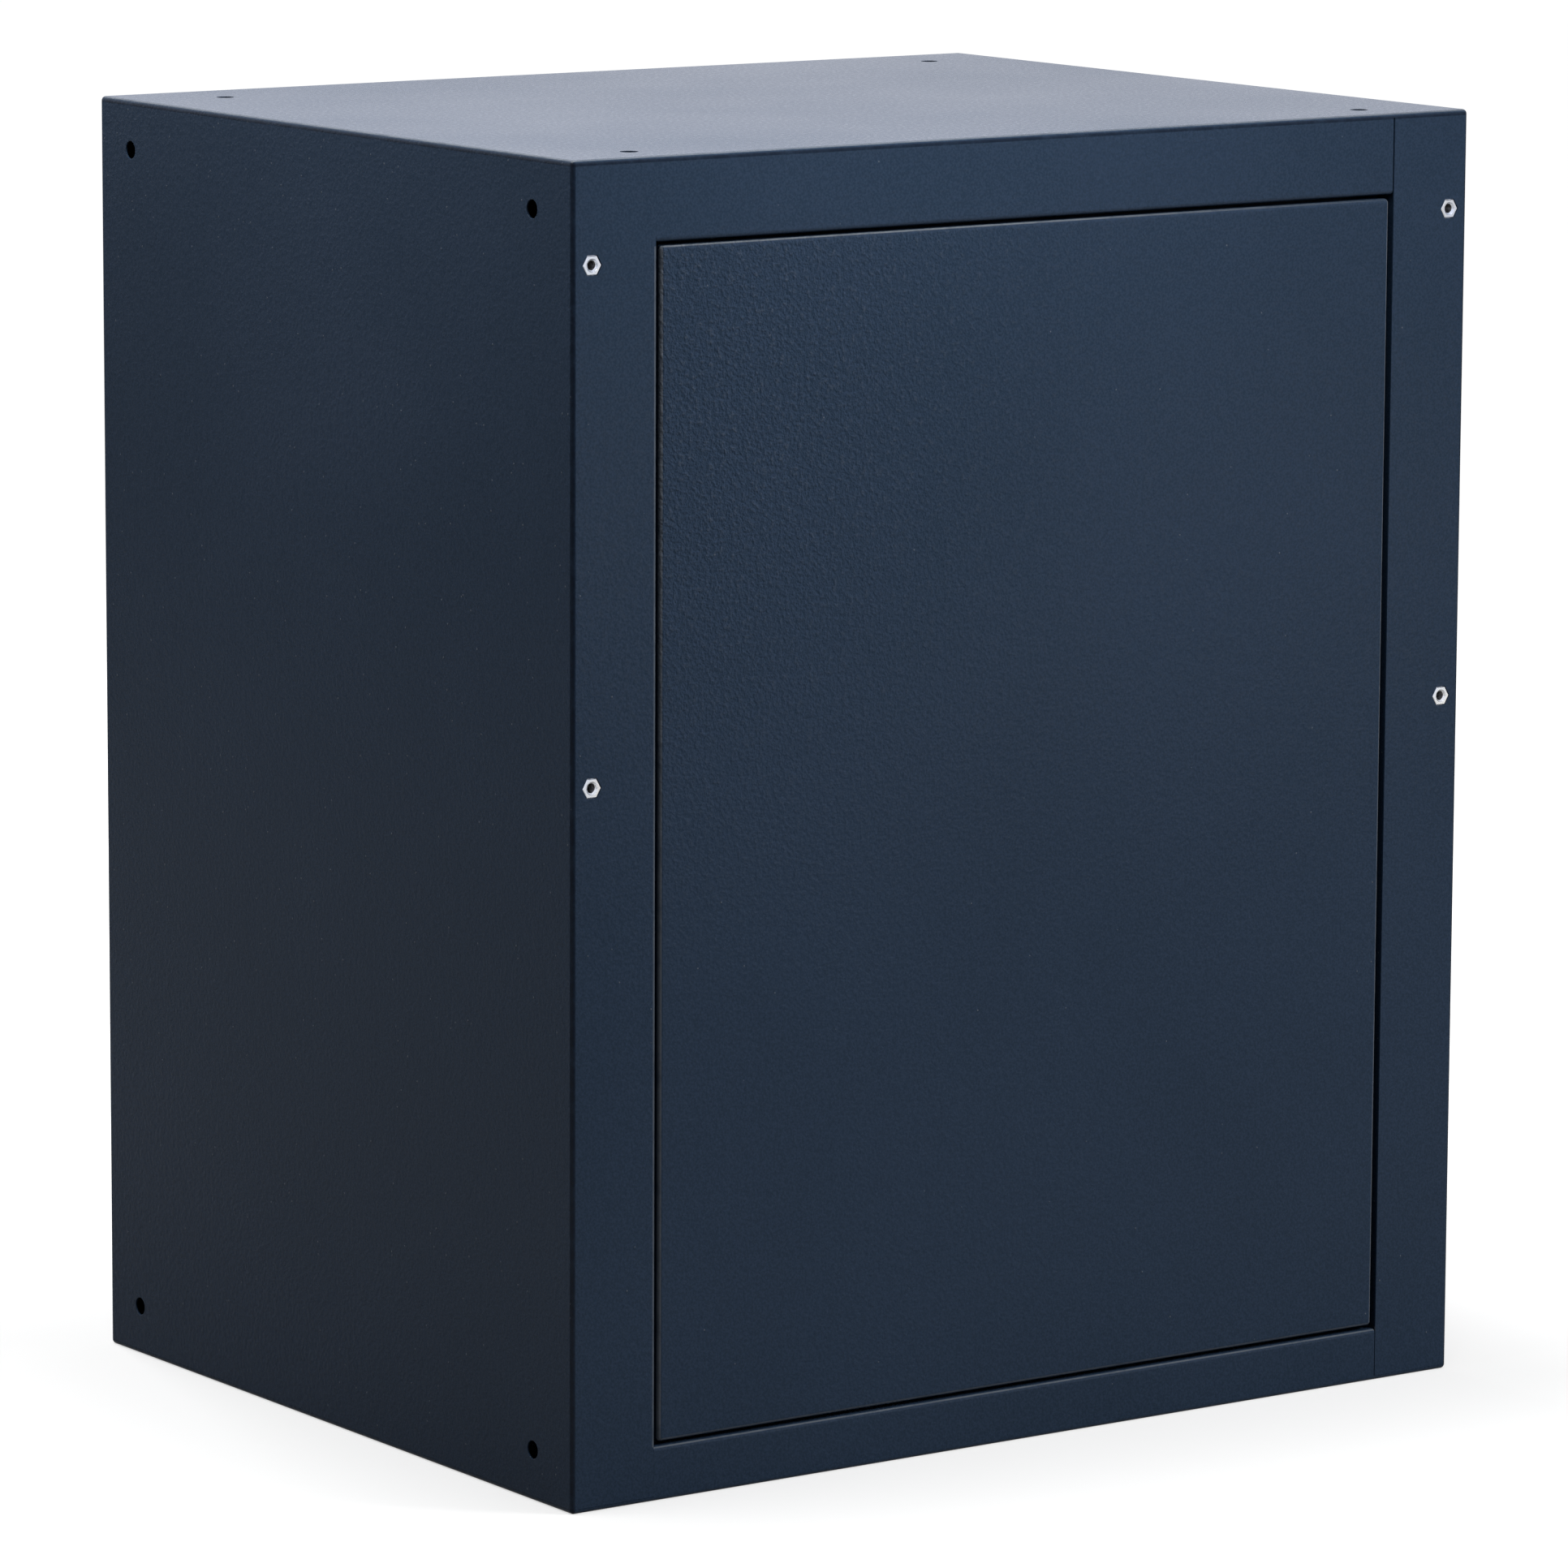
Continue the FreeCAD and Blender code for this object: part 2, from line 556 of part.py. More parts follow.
def handle_dish():
    """Round cup in the door with a rim outside and two screw bosses behind."""
    rim = rod_y(DISH_D + 2 * DISH_FLANGE, DISH_RIM, DOOR_FACE, LOCK_X, LOCK_Z)
    cup = rod_y(DISH_D, DOOR_FACE, DISH_BACK, LOCK_X, LOCK_Z)
    bosses = [rod_y(BOSS_D, DISH_BACK, BRACKET_FRONT, LOCK_X, z) for z in boss_heights()]
    hollow = rod_y(DISH_D - 2 * DISH_WALL, DISH_RIM - DISH_WALL, DISH_FLOOR, LOCK_X, LOCK_Z)
    spindle_hole = rod_y(SPINDLE_D + 2 * SPINDLE_CLEARANCE, DISH_RIM, BRACKET_FRONT, LOCK_X, LOCK_Z)
    hole = SCREW_D + 2 * SCREW_CLEARANCE
    screw_holes = [rod_y(hole, DISH_BACK, BRACKET_BACK, LOCK_X, z) for z in boss_heights()]
    return cut(fuse(rim, cup, *bosses), [hollow, spindle_hole] + screw_holes)


def lock_bracket():
    """Strap behind the lock that clamps the dish to the door and carries the spindle's tail."""
    side = DISH_D / 2 + BRACKET_SIDE_GAP
    foot = side + BRACKET_FOOT
    corners = [(LOCK_X - foot, SKIN_INSIDE), (LOCK_X - side, SKIN_INSIDE), (LOCK_X - side, BRACKET_FRONT),
               (LOCK_X + side, BRACKET_FRONT), (LOCK_X + side, SKIN_INSIDE), (LOCK_X + foot, SKIN_INSIDE)]
    low = LOCK_Z - BRACKET_HEIGHT / 2
    strap = folded_sheet(corners, BRACKET_T, plan_at(low), Vector(0, 0, BRACKET_HEIGHT))
    hole = SCREW_D + 2 * SCREW_CLEARANCE
    holes = [rod_y(hole, DISH_BACK, BRACKET_BACK + BRACKET_T, LOCK_X, z) for z in boss_heights()]
    tail_hole = TAIL_D + 2 * SPINDLE_CLEARANCE
    holes.append(rod_y(tail_hole, DISH_BACK, BRACKET_BACK + BRACKET_T, LOCK_X, LOCK_Z))
    return cut(strap, holes)


def lock_screws():
    """Two screws through the bracket into the bosses of the dish."""
    tip = BRACKET_BACK - SCREW_LENGTH
    screws = []
    for z in boss_heights():
        head = rod_y(SCREW_HEAD_D, BRACKET_BACK, BRACKET_BACK + SCREW_HEAD_H, LOCK_X, z)
        screws.append(head.fuse(rod_y(SCREW_D, tip, BRACKET_BACK, LOCK_X, z)).removeSplitter())
    return Part.makeCompound(screws)


def tail_shaft(diameter, flat_gap, y0, y1):
    """Round tail of the spindle with one flat that drives the disc."""
    shaft = rod_y(diameter, y0, y1, LOCK_X, LOCK_Z)
    flat = LOCK_Z + TAIL_D / 2 - TAIL_FLAT + flat_gap
    return shaft.cut(box(LOCK_X - TAIL_D, LOCK_X + TAIL_D, y0, y1, flat, flat + TAIL_D))


def handle_grip():
    """Turning grip in the dish: bar, hub, spindle and tail in one casting, with the key's bore."""
    face = DISH_RIM + GRIP_BELOW_RIM
    seat = DISH_FLOOR - GRIP_FLOOR_GAP
    hub = rod_y(HUB_D, face, seat, LOCK_X, LOCK_Z)
    half_length = GRIP_LENGTH / 2
    half_width = GRIP_WIDTH / 2
    bar = box(LOCK_X - half_length, LOCK_X + half_length, face, seat - GRIP_UNDERCUT,
              LOCK_Z - half_width, LOCK_Z + half_width)
    spindle = rod_y(SPINDLE_D, seat, DISC_FRONT, LOCK_X, LOCK_Z)
    flat_part = tail_shaft(TAIL_D, 0, DISC_FRONT, DISC_BACK)
    tail = rod_y(TAIL_D, DISC_BACK, BRACKET_BACK + TAIL_NUT_T, LOCK_X, LOCK_Z)
    bore = rod_y(KEY_D + 2 * KEY_CLEARANCE, face, face + KEY_DEPTH, LOCK_X, LOCK_Z)
    return fuse(hub, bar, spindle, flat_part, tail).cut(bore)


def key_barrel():
    """Lock barrel in the grip's hub, with its keyway upright."""
    face = DISH_RIM + GRIP_BELOW_RIM
    barrel = rod_y(KEY_D, face, face + KEY_DEPTH, LOCK_X, LOCK_Z)
    half_width = KEYWAY_WIDTH / 2
    half_length = KEYWAY_LENGTH / 2
    keyway = box(LOCK_X - half_width, LOCK_X + half_width, face, face + KEYWAY_DEPTH,
                 LOCK_Z - half_length, LOCK_Z + half_length)
    return barrel.cut(keyway)


def drive_disc():
    """Disc on the spindle with a crank pin for each rod."""
    disc = rod_y(2 * (CRANK_RADIUS + DISC_MARGIN), DISC_FRONT, DISC_BACK, LOCK_X, LOCK_Z)
    bore = tail_shaft(TAIL_D + 2 * SPINDLE_CLEARANCE, SPINDLE_CLEARANCE, DISC_FRONT, DISC_BACK)
    pin_end = ROD_BACK + CRANK_PIN_PROUD
    left = rod_y(CRANK_PIN_D, DISC_BACK, pin_end, LOCK_X - PIN_NEAR, LOCK_Z - PIN_NEAR)
    right = rod_y(CRANK_PIN_D, DISC_BACK, pin_end, LOCK_X + PIN_NEAR, LOCK_Z + PIN_NEAR)
    return fuse(disc, left, right).cut(bore)


def tail_nut():
    ring = rod_y(TAIL_NUT_D, BRACKET_BACK, BRACKET_BACK + TAIL_NUT_T, LOCK_X, LOCK_Z)
    return ring.cut(rod_y(TAIL_D + 2 * SPINDLE_CLEARANCE, BRACKET_FRONT, BRACKET_BACK + 2 * TAIL_NUT_T,
                          LOCK_X, LOCK_Z))


def slot_half_height():
    return CRANK_PIN_D / 2 + ROD_SLOT_PLAY


def rod_offset():
    """Sideways distance of a rod's centre line from the spindle."""
    return (PIN_NEAR + CRANK_RADIUS) / 2


def lock_rod(side, up, tip):
    """Flat rod with a slotted foot on the crank pin; side is -1 or 1 and up points to its tip."""
    x = LOCK_X + side * rod_offset()
    pin = LOCK_Z - up * PIN_NEAR
    reach = slot_half_height() + ROD_SLOT_WALL
    foot_half = (CRANK_RADIUS - PIN_NEAR) / 2 + reach
    half = ROD_WIDTH / 2
    shoulder = pin + up * reach
    neck = tip - up * ROD_TIP_CHAMFER
    outline = [(x - foot_half, pin - up * reach), (x - foot_half, shoulder), (x - half, shoulder),
               (x - half, neck), (x - half + ROD_TIP_CHAMFER, tip), (x + half - ROD_TIP_CHAMFER, tip),
               (x + half, neck), (x + half, shoulder), (x + foot_half, shoulder),
               (x + foot_half, pin - up * reach)]
    bar = prism_y(outline, ROD_FRONT, ROD_BACK)
    slot_d = 2 * slot_half_height()
    near = LOCK_X + side * PIN_NEAR
    far = LOCK_X + side * CRANK_RADIUS
    ends = [rod_y(slot_d, ROD_FRONT, ROD_BACK, end, pin) for end in (near, far)]
    middle = box(min(near, far), max(near, far), ROD_FRONT, ROD_BACK,
                 pin - slot_half_height(), pin + slot_half_height())
    return cut(bar, [fuse(middle, *ends)])


def guide_centres():
    """Centres of the two rod guides as (x, z): the left rod goes up, the right one down."""
    middle = DOOR_LIP / 2
    return ((LOCK_X - rod_offset(), DOOR_TOP - middle), (LOCK_X + rod_offset(), DOOR_BOTTOM + middle))


def guide_screw_places(x, z):
    offset = ROD_WIDTH / 2 + GUIDE_GAP + GUIDE_WALL + GUIDE_EAR / 2
    return [(x - offset, z), (x + offset, z)]


def guide_screw_holes():
    hole = GUIDE_SCREW_D + 2 * SCREW_CLEARANCE
    holes = []
    for x, z in guide_centres():
        for screw_x, screw_z in guide_screw_places(x, z):
            holes.append(rod_y(hole, DOOR_BACK - 2 * SHEET, ROD_BACK, screw_x, screw_z))
    return holes


def rod_guide(x, z):
    """Block with a window for the rod and an ear at each side, on the door's folded lip."""
    window_half = ROD_WIDTH / 2 + GUIDE_GAP
    body_half = window_half + GUIDE_WALL
    ear_half = body_half + GUIDE_EAR
    low = z - GUIDE_HEIGHT / 2
    high = z + GUIDE_HEIGHT / 2
    ears = box(x - ear_half, x + ear_half, DOOR_BACK, DOOR_BACK + GUIDE_WALL, low, high)
    body = box(x - body_half, x + body_half, DOOR_BACK, ROD_BACK + GUIDE_GAP + GUIDE_WALL, low, high)
    window = box(x - window_half, x + window_half, ROD_FRONT - GUIDE_GAP, ROD_BACK + GUIDE_GAP,
                 low - GUIDE_WALL, high + GUIDE_WALL)
    return cut(fuse(ears, body), [window] + guide_screw_holes())


def guide_screws():
    """Small screws that hold the rod guides on the door's lips."""
    seat = DOOR_BACK + GUIDE_WALL
    screws = []
    for x, z in guide_centres():
        for screw_x, screw_z in guide_screw_places(x, z):
            head = rod_y(GUIDE_SCREW_HEAD_D, seat, seat + GUIDE_SCREW_HEAD_H, screw_x, screw_z)
            shank = rod_y(GUIDE_SCREW_D, DOOR_BACK - 2 * SHEET, seat, screw_x, screw_z)
            screws.append(head.fuse(shank).removeSplitter())
    return Part.makeCompound(screws)


def carcass_nodes():
    right_wall = side_panel()
    right_rail = rear_rail()
    upper_stop = door_stop()
    nodes = {
        "side_panel_right": right_wall,
        "side_panel_left": mirror_x(right_wall),
        "top_panel": cap_panel(TOP_RAIL, TOP_SEAM_OPEN),
        "bottom_panel": mirror_z(cap_panel(BOTTOM_RAIL, BOTTOM_SEAM_OPEN), HEIGHT / 2),
        "rear_panel": rear_panel(),
        "rear_rail_right": right_rail,
        "rear_rail_left": mirror_x(right_rail),
        "rear_panel_screws": rear_panel_screws(),
        "rivet_nuts": rivet_nuts(),
        "shelf_clips": shelf_clips(),
        "hinge_pin_upper": hinge_pin(HEIGHT - TOP_RAIL, -1),
        "hinge_pin_lower": hinge_pin(BOTTOM_RAIL, 1),
        "door_stop_upper": upper_stop,
        "door_stop_lower": to_lower_rail(upper_stop),
        "door_buffers": Part.makeCompound([door_buffer(), to_lower_rail(door_buffer())]),
    }
    for place, y in (("front", FRONT_POST_Y), ("rear", REAR_POST_Y)):
        post = shelf_post(y)
        nodes["shelf_post_right_" + place] = post
        nodes["shelf_post_left_" + place] = mirror_x(post)
    return nodes


def door_nodes():
    upper_guide, lower_guide = guide_centres()
    return {
        "door_skin": door_skin(),
        "door_rib": door_rib(),
        "hinge_bush_upper": hinge_bush(DOOR_TOP, -1, BUSH_UPPER_FLANGE),
        "hinge_bush_lower": hinge_bush(DOOR_BOTTOM, 1, DOOR_GAP_END),
        "handle_dish": handle_dish(),
        "lock_bracket": lock_bracket(),
        "lock_screws": lock_screws(),
        "rod_guide_upper": rod_guide(*upper_guide),
        "rod_guide_lower": rod_guide(*lower_guide),
        "guide_screws": guide_screws(),
    }


def lock_nodes():
    return {
        "handle_grip": handle_grip(),
        "drive_disc": drive_disc(),
        "tail_nut": tail_nut(),
        "key_barrel": key_barrel(),
        "lock_rod_upper": lock_rod(-1, 1, DOOR_TOP - ROD_TIP_DROP),
        "lock_rod_lower": lock_rod(1, -1, DOOR_BOTTOM + ROD_TIP_DROP),
    }


def shelf_nodes():
    return {"shelf_tray": shelf_tray(), "shelf_stiffener": shelf_stiffener()}


def main():
    os.makedirs("parts", exist_ok=True)
    for nodes in (carcass_nodes(), door_nodes(), lock_nodes(), shelf_nodes()):
        for name, shape in nodes.items():
            shape.exportStep("parts/" + name + ".step")


main()
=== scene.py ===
"""Finish, hardware and studio for a workshop cabinet of folded sheet steel."""

import math

import bmesh
import bpy
from bpy.props import FloatProperty, FloatVectorProperty, IntProperty, PointerProperty
from mathutils import Matrix, Vector


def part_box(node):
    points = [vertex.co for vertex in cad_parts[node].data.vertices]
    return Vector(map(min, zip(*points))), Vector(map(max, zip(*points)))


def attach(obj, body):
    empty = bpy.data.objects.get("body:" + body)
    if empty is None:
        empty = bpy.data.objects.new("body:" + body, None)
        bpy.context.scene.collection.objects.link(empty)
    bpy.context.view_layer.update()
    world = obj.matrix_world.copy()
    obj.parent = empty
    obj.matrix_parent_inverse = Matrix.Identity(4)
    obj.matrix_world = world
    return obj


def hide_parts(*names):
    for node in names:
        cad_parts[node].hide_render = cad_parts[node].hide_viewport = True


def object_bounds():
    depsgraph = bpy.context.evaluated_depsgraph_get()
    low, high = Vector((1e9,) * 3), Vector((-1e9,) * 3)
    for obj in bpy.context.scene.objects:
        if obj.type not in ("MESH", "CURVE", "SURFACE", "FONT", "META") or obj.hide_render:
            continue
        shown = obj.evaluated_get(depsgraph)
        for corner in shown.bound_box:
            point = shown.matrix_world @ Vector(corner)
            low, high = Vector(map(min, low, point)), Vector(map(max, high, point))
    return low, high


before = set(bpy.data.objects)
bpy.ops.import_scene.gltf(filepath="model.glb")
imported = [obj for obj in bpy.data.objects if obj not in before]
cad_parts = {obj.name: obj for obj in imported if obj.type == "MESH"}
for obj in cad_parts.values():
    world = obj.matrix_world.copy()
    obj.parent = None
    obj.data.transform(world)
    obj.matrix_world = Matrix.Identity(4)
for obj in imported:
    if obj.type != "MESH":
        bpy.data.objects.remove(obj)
CAD_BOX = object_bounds()

bl_info = {
    "name": "Workshop Cabinet",
    "version": (1, 0, 0),
    "blender": (4, 5, 0),
    "location": "3D View > Sidebar > Cabinet",
    "description": "Dresses the packed cabinet with its coat, hardware and studio",
    "category": "Object",
}

MM = 0.001
SHARP_ANGLE = math.radians(35)
LINE_SOFT = (0.3 * MM, 0.3 * MM, 0.3 * MM)
GAP_SIDE = 3.0 * MM
GAP_END = 2.2 * MM

CARCASS_SHEETS = (
    "side_panel_left", "side_panel_right", "bottom_panel", "rear_rail_left", "rear_rail_right",
    "door_stop_upper", "door_stop_lower",
    "shelf_post_left_front", "shelf_post_left_rear", "shelf_post_right_front", "shelf_post_right_rear",
)
DOOR_SHEETS = ("door_skin", "door_rib")
SHELF_SHEETS = ("shelf_tray", "shelf_stiffener")
ZINC_SOLIDS = (
    "drive_disc", "lock_bracket", "lock_rod_upper", "lock_rod_lower",
    "hinge_pin_upper", "hinge_pin_lower", "shelf_clips",
)
NYLON_SOLIDS = ("hinge_bush_upper", "hinge_bush_lower", "rod_guide_upper", "rod_guide_lower")


class Coat(bpy.types.PropertyGroup):
    """Powder coat of all sheets."""

    colour: FloatVectorProperty(
        name="Colour", description="Grey-blue of the coat", subtype="COLOR", size=3,
        default=(0.018, 0.0345, 0.064), min=0, max=1)
    # Pale grey of painted highlights along edges and of painted glints on nibs and peel crests.
    highlight_colour: FloatVectorProperty(
        name="Highlight colour", description="Pale grey of painted highlights along edges and of painted glints on nibs and peel crests", subtype="COLOR", size=3,
        default=(0.2, 0.22, 0.245), min=0, max=1)
    fold_colour: FloatVectorProperty(
        name="Fold colour", description="Deep shade along folds and in holes", subtype="COLOR", size=3,
        default=(0.003, 0.0075, 0.018), min=0, max=1)
    roughness: FloatProperty(
        name="Roughness", description="Mean roughness of the coat", subtype="FACTOR",
        default=0.26, min=0, max=1)
    gloss: FloatProperty(
        name="Gloss", description="Specular level of the coat", subtype="FACTOR",
        default=0.11, min=0, max=1)
    peel_size: FloatProperty(
        name="Peel size", description="Width of one bump of the orange peel", subtype="DISTANCE",
        unit="LENGTH", default=2.3 * MM, min=0.2 * MM, max=10 * MM)
    peel_depth: FloatProperty(
        name="Peel depth", description="Height of the orange peel", subtype="DISTANCE", unit="LENGTH",
        default=0.25 * MM, min=0, max=1 * MM)
    peel_spread: FloatProperty(
        name="Peel spread", description="How much coarser the peel gets in the rear panel's upper corner",
        default=4.6, min=0, max=10)
    edge_radius: FloatProperty(
        name="Edge radius", description="Rounding that the coat gives to cut sheet edges",
        subtype="DISTANCE", unit="LENGTH", default=0.4 * MM, min=0.05 * MM, max=0.55 * MM)


class Hardware(bpy.types.PropertyGroup):
    """Sizes and colours of the fittings."""

    zinc_colour: FloatVectorProperty(
        name="Zinc", description="Bright zinc plating", subtype="COLOR", size=3,
        default=(0.78, 0.79, 0.81), min=0, max=1)
    nickel_colour: FloatVectorProperty(
        name="Nickel", description="Satin nickel of the key barrel", subtype="COLOR", size=3,
        default=(0.68, 0.66, 0.62), min=0, max=1)
    nylon_colour: FloatVectorProperty(
        name="Nylon", description="Dark nylon of bushes and guides", subtype="COLOR", size=3,
        default=(0.03, 0.03, 0.032), min=0, max=1)
    black_colour: FloatVectorProperty(
        name="Black", description="Black of the dish, the grip and the buffers", subtype="COLOR", size=3,
        default=(0.012, 0.012, 0.013), min=0, max=1)
    nut_pitch: FloatProperty(
        name="Nut pitch", description="Thread pitch of the rivet nuts", subtype="DISTANCE", unit="LENGTH",
        default=1.0 * MM, min=0.3 * MM, max=3 * MM)
    nut_mouth: FloatProperty(
        name="Nut mouth", description="Diameter of the countersunk mouth", subtype="DISTANCE", unit="LENGTH",
        default=7.0 * MM, min=6.1 * MM, max=9 * MM)
    nut_chamfer: FloatProperty(
        name="Nut chamfer", description="Chamfer round the nut's hexagon", subtype="DISTANCE", unit="LENGTH",
        default=0.35 * MM, min=0.05 * MM, max=1 * MM)
    nut_flats: FloatProperty(
        name="Nut flats", description="Width across the flats of the rivet nuts", subtype="DISTANCE",
        unit="LENGTH", default=10.0 * MM, min=8 * MM, max=13 * MM)
    screw_pitch: FloatProperty(
        name="Screw pitch", description="Thread pitch of the screws", subtype="DISTANCE", unit="LENGTH",
        default=0.8 * MM, min=0.3 * MM, max=2 * MM)
    dish_radius: FloatProperty(
        name="Dish radius", description="Inner radius of the handle dish", subtype="DISTANCE", unit="LENGTH",
        default=48.5 * MM, min=30 * MM, max=49 * MM)
    dish_depth: FloatProperty(
        name="Dish depth", description="Depth of the dish below the face of the door", subtype="DISTANCE",
        unit="LENGTH", default=17.0 * MM, min=5 * MM, max=17.2 * MM)
    dish_fillet: FloatProperty(
        name="Dish fillet", description="Rounding between the dish's wall and floor", subtype="DISTANCE",
        unit="LENGTH", default=6.0 * MM, min=1 * MM, max=12 * MM)
    grip_width: FloatProperty(
        name="Grip width", description="Width of the turning grip's bar", subtype="DISTANCE", unit="LENGTH",
        default=13.0 * MM, min=8 * MM, max=13 * MM)
    grip_round: FloatProperty(
        name="Grip rounding", description="Rounding of the grip's front edges", subtype="DISTANCE",
        unit="LENGTH", default=2.4 * MM, min=0.3 * MM, max=4 * MM)
    turn_steps: IntProperty(
        name="Steps", description="Faces round a turned piece", default=48, min=12, max=192)


class Studio(bpy.types.PropertyGroup):
    """Camera, lamps and floor."""

    eye: FloatVectorProperty(
        name="Eye", description="Place of the camera", subtype="TRANSLATION", size=3,
        default=(2.67569, 3.80971, 1.10708))
    aim: FloatVectorProperty(
        name="Aim", description="Point in the middle of the picture", subtype="TRANSLATION", size=3,
        default=(-0.0029, 0.00203, 0.33281))
    roll: FloatProperty(
        name="Roll", description="Turn of the camera about its own axis", subtype="ANGLE", unit="ROTATION",
        default=math.radians(0.2603))
    lens: FloatProperty(
        name="Lens", description="Focal length in millimetres on a 36 mm sensor",
        default=190.75, min=10, max=500)
    floor_radius: FloatProperty(
        name="Floor radius", description="Radius of the pale floor", subtype="DISTANCE", unit="LENGTH",
        default=20.0, min=2, max=100)
    fill: FloatProperty(
        name="Fill", description="Even light from all round", default=0.05, min=0, max=2)
    floor_bounce: FloatProperty(
        name="Floor bounce", description="Share of light that the floor gives back", subtype="FACTOR",
        default=0.22, min=0, max=1)
    rear_lamp: FloatProperty(
        name="Rear lamp", description="Small soft box close above the inset panel, in watts",
        default=1.95, min=0, max=500)
    key_lamp: FloatProperty(
        name="Key lamp", description="High soft box behind and to the left, in watts",
        default=108.0, min=0, max=500)
    side_lamp: FloatProperty(
        name="Side lamp", description="Soft box close above the right side, in watts",
        default=11.0, min=0, max=500)
    low_lamp: FloatProperty(
        name="Low lamp", description="Weak soft box out to the right, in watts", default=1.0, min=0, max=500)
    top_lamp: FloatProperty(
        name="Top lamp", description="Soft box overhead, in watts", default=7.0, min=0, max=500)
    door_lamp: FloatProperty(
        name="Door lamp", description="Soft box in front of the door, in watts", default=70.0, min=0, max=500)
    card_lamp: FloatProperty(
        name="Card", description="Faint white card that bright metal mirrors, in watts",
        default=2.0, min=0, max=500)
    mirror_level: FloatProperty(
        name="Mirror level", description="Brightness of the surroundings in glossy surfaces",
        default=1.14, min=0, max=2)
    mirror_tint: FloatVectorProperty(
        name="Mirrored white", description="White of the surroundings in glossy surfaces", subtype="COLOR",
        size=3, default=(0.87, 0.9, 1.0), min=0, max=1)
    floor_mirror: FloatProperty(
        name="Floor in mirrors", description="Brightness of the floor in glossy surfaces", subtype="FACTOR",
        default=0.24, min=0, max=1)
    near_mirror: FloatProperty(
        name="Near floor in mirrors", description="What the floor close behind the rear panel adds to that",
        subtype="FACTOR", default=0.35, min=0, max=1)


class Signal:
    """A shader value that can be used in Python arithmetic."""

    def __init__(self, graph, socket):
        self.graph = graph
        self.socket = socket

    def maths(self, operation, *values):
        return self.graph.add("ShaderNodeMath", {"operation": operation}, dict(enumerate(values)))

    def __add__(self, other):
        return self.maths("ADD", self, other)

    __radd__ = __add__

    def __sub__(self, other):
        return self.maths("SUBTRACT", self, other)

    def __rsub__(self, other):
        return self.maths("SUBTRACT", other, self)

    def __mul__(self, other):
        return self.maths("MULTIPLY", self, other)

    __rmul__ = __mul__

    def __truediv__(self, other):
        return self.maths("DIVIDE", self, other)

    def __rtruediv__(self, other):
        return self.maths("DIVIDE", other, self)

    def __pow__(self, other):
        return self.maths("POWER", self, other)

    def __abs__(self):
        return self.maths("ABSOLUTE", self)

    def least(self, other):
        return self.maths("MINIMUM", self, other)

    def most(self, other):
        return self.maths("MAXIMUM", self, other)

    def ramp(self, low, high):
        """0 at low and 1 at high, smooth in between; low may be above high."""
        sockets = {"Value": self, "From Min": low, "From Max": high}
        return self.graph.add("ShaderNodeMapRange", {"interpolation_type": "SMOOTHSTEP"}, sockets)


class Graph:
    """Node tree of a material, the world or a floor."""

    def __init__(self, tree):
        self.tree = tree
        tree.nodes.clear()

    def add(self, kind, settings=None, sockets=None, out=0):
        """New node: settings are set first, then its sockets are given values or links."""
        node = self.tree.nodes.new(kind)
        for key, value in (settings or {}).items():
            setattr(node, key, value)
        for key, value in (sockets or {}).items():
            if isinstance(value, Signal):
                self.tree.links.new(value.socket, node.inputs[key])
            else:
                node.inputs[key].default_value = value
        return Signal(self, node.outputs[out]) if node.outputs else None

    def place(self):
        """Point on the surface in metres, in the cabinet's frame at rest."""
        return self.add("ShaderNodeTexCoord", out="Object")

    def noise(self, place, size, detail=2.0, rough=0.5):
        """Noise from 0 to 1 whose bumps are about as wide as size."""
        sockets = {"Vector": place, "Scale": 1 / size, "Detail": detail, "Roughness": rough}
        return self.add("ShaderNodeTexNoise", None, sockets)

    def stretched(self, place, scale):
        """Place multiplied by a scale for each axis."""
        return self.add("ShaderNodeVectorMath", {"operation": "MULTIPLY"}, {0: place, 1: scale})

    def split(self, place):
        """The three parts of a place."""
        node = self.add("ShaderNodeSeparateXYZ", None, {0: place}).socket.node
        return [Signal(self, output) for output in node.outputs]

    def tint(self, share, low, high):
        """Colour from low to high."""
        sockets = {0: share, 6: colour4(low), 7: colour4(high)}
        return self.add("ShaderNodeMix", {"data_type": "RGBA"}, sockets, out=2)

    def bump(self, height, depth, strength=1.0):
        """Normal for a relief of some depth."""
        return self.add("ShaderNodeBump", None, {"Strength": strength, "Distance": depth, "Height": height})

    def surface(self, **sockets):
        """Principled shader on the output; names use _ for a blank."""
        values = {key.replace("_", " "): value for key, value in sockets.items()}
        shader = self.add("ShaderNodeBsdfPrincipled", None, values)
        self.add("ShaderNodeOutputMaterial", None, {"Surface": shader})


def colour4(colour):
    """Colour with full alpha, or a link as it is."""
    return colour if isinstance(colour, Signal) else (*colour, 1.0)


def new_finish(name):
    """Empty material and its graph."""
    finish = bpy.data.materials.new(name)
    finish.use_nodes = True
    return finish, Graph(finish.node_tree)


def inside_share(graph, place, low, high, soft):
    """1 inside a box and 0 outside it, with sides as soft as soft says along each axis."""
    depth = None
    for part, a, b, width in zip(graph.split(place), low, high, soft):
        gap = (part - a).least(b - part) / width
        depth = depth.least(gap) if depth else gap
    return depth.ramp(-1.0, 1.0)


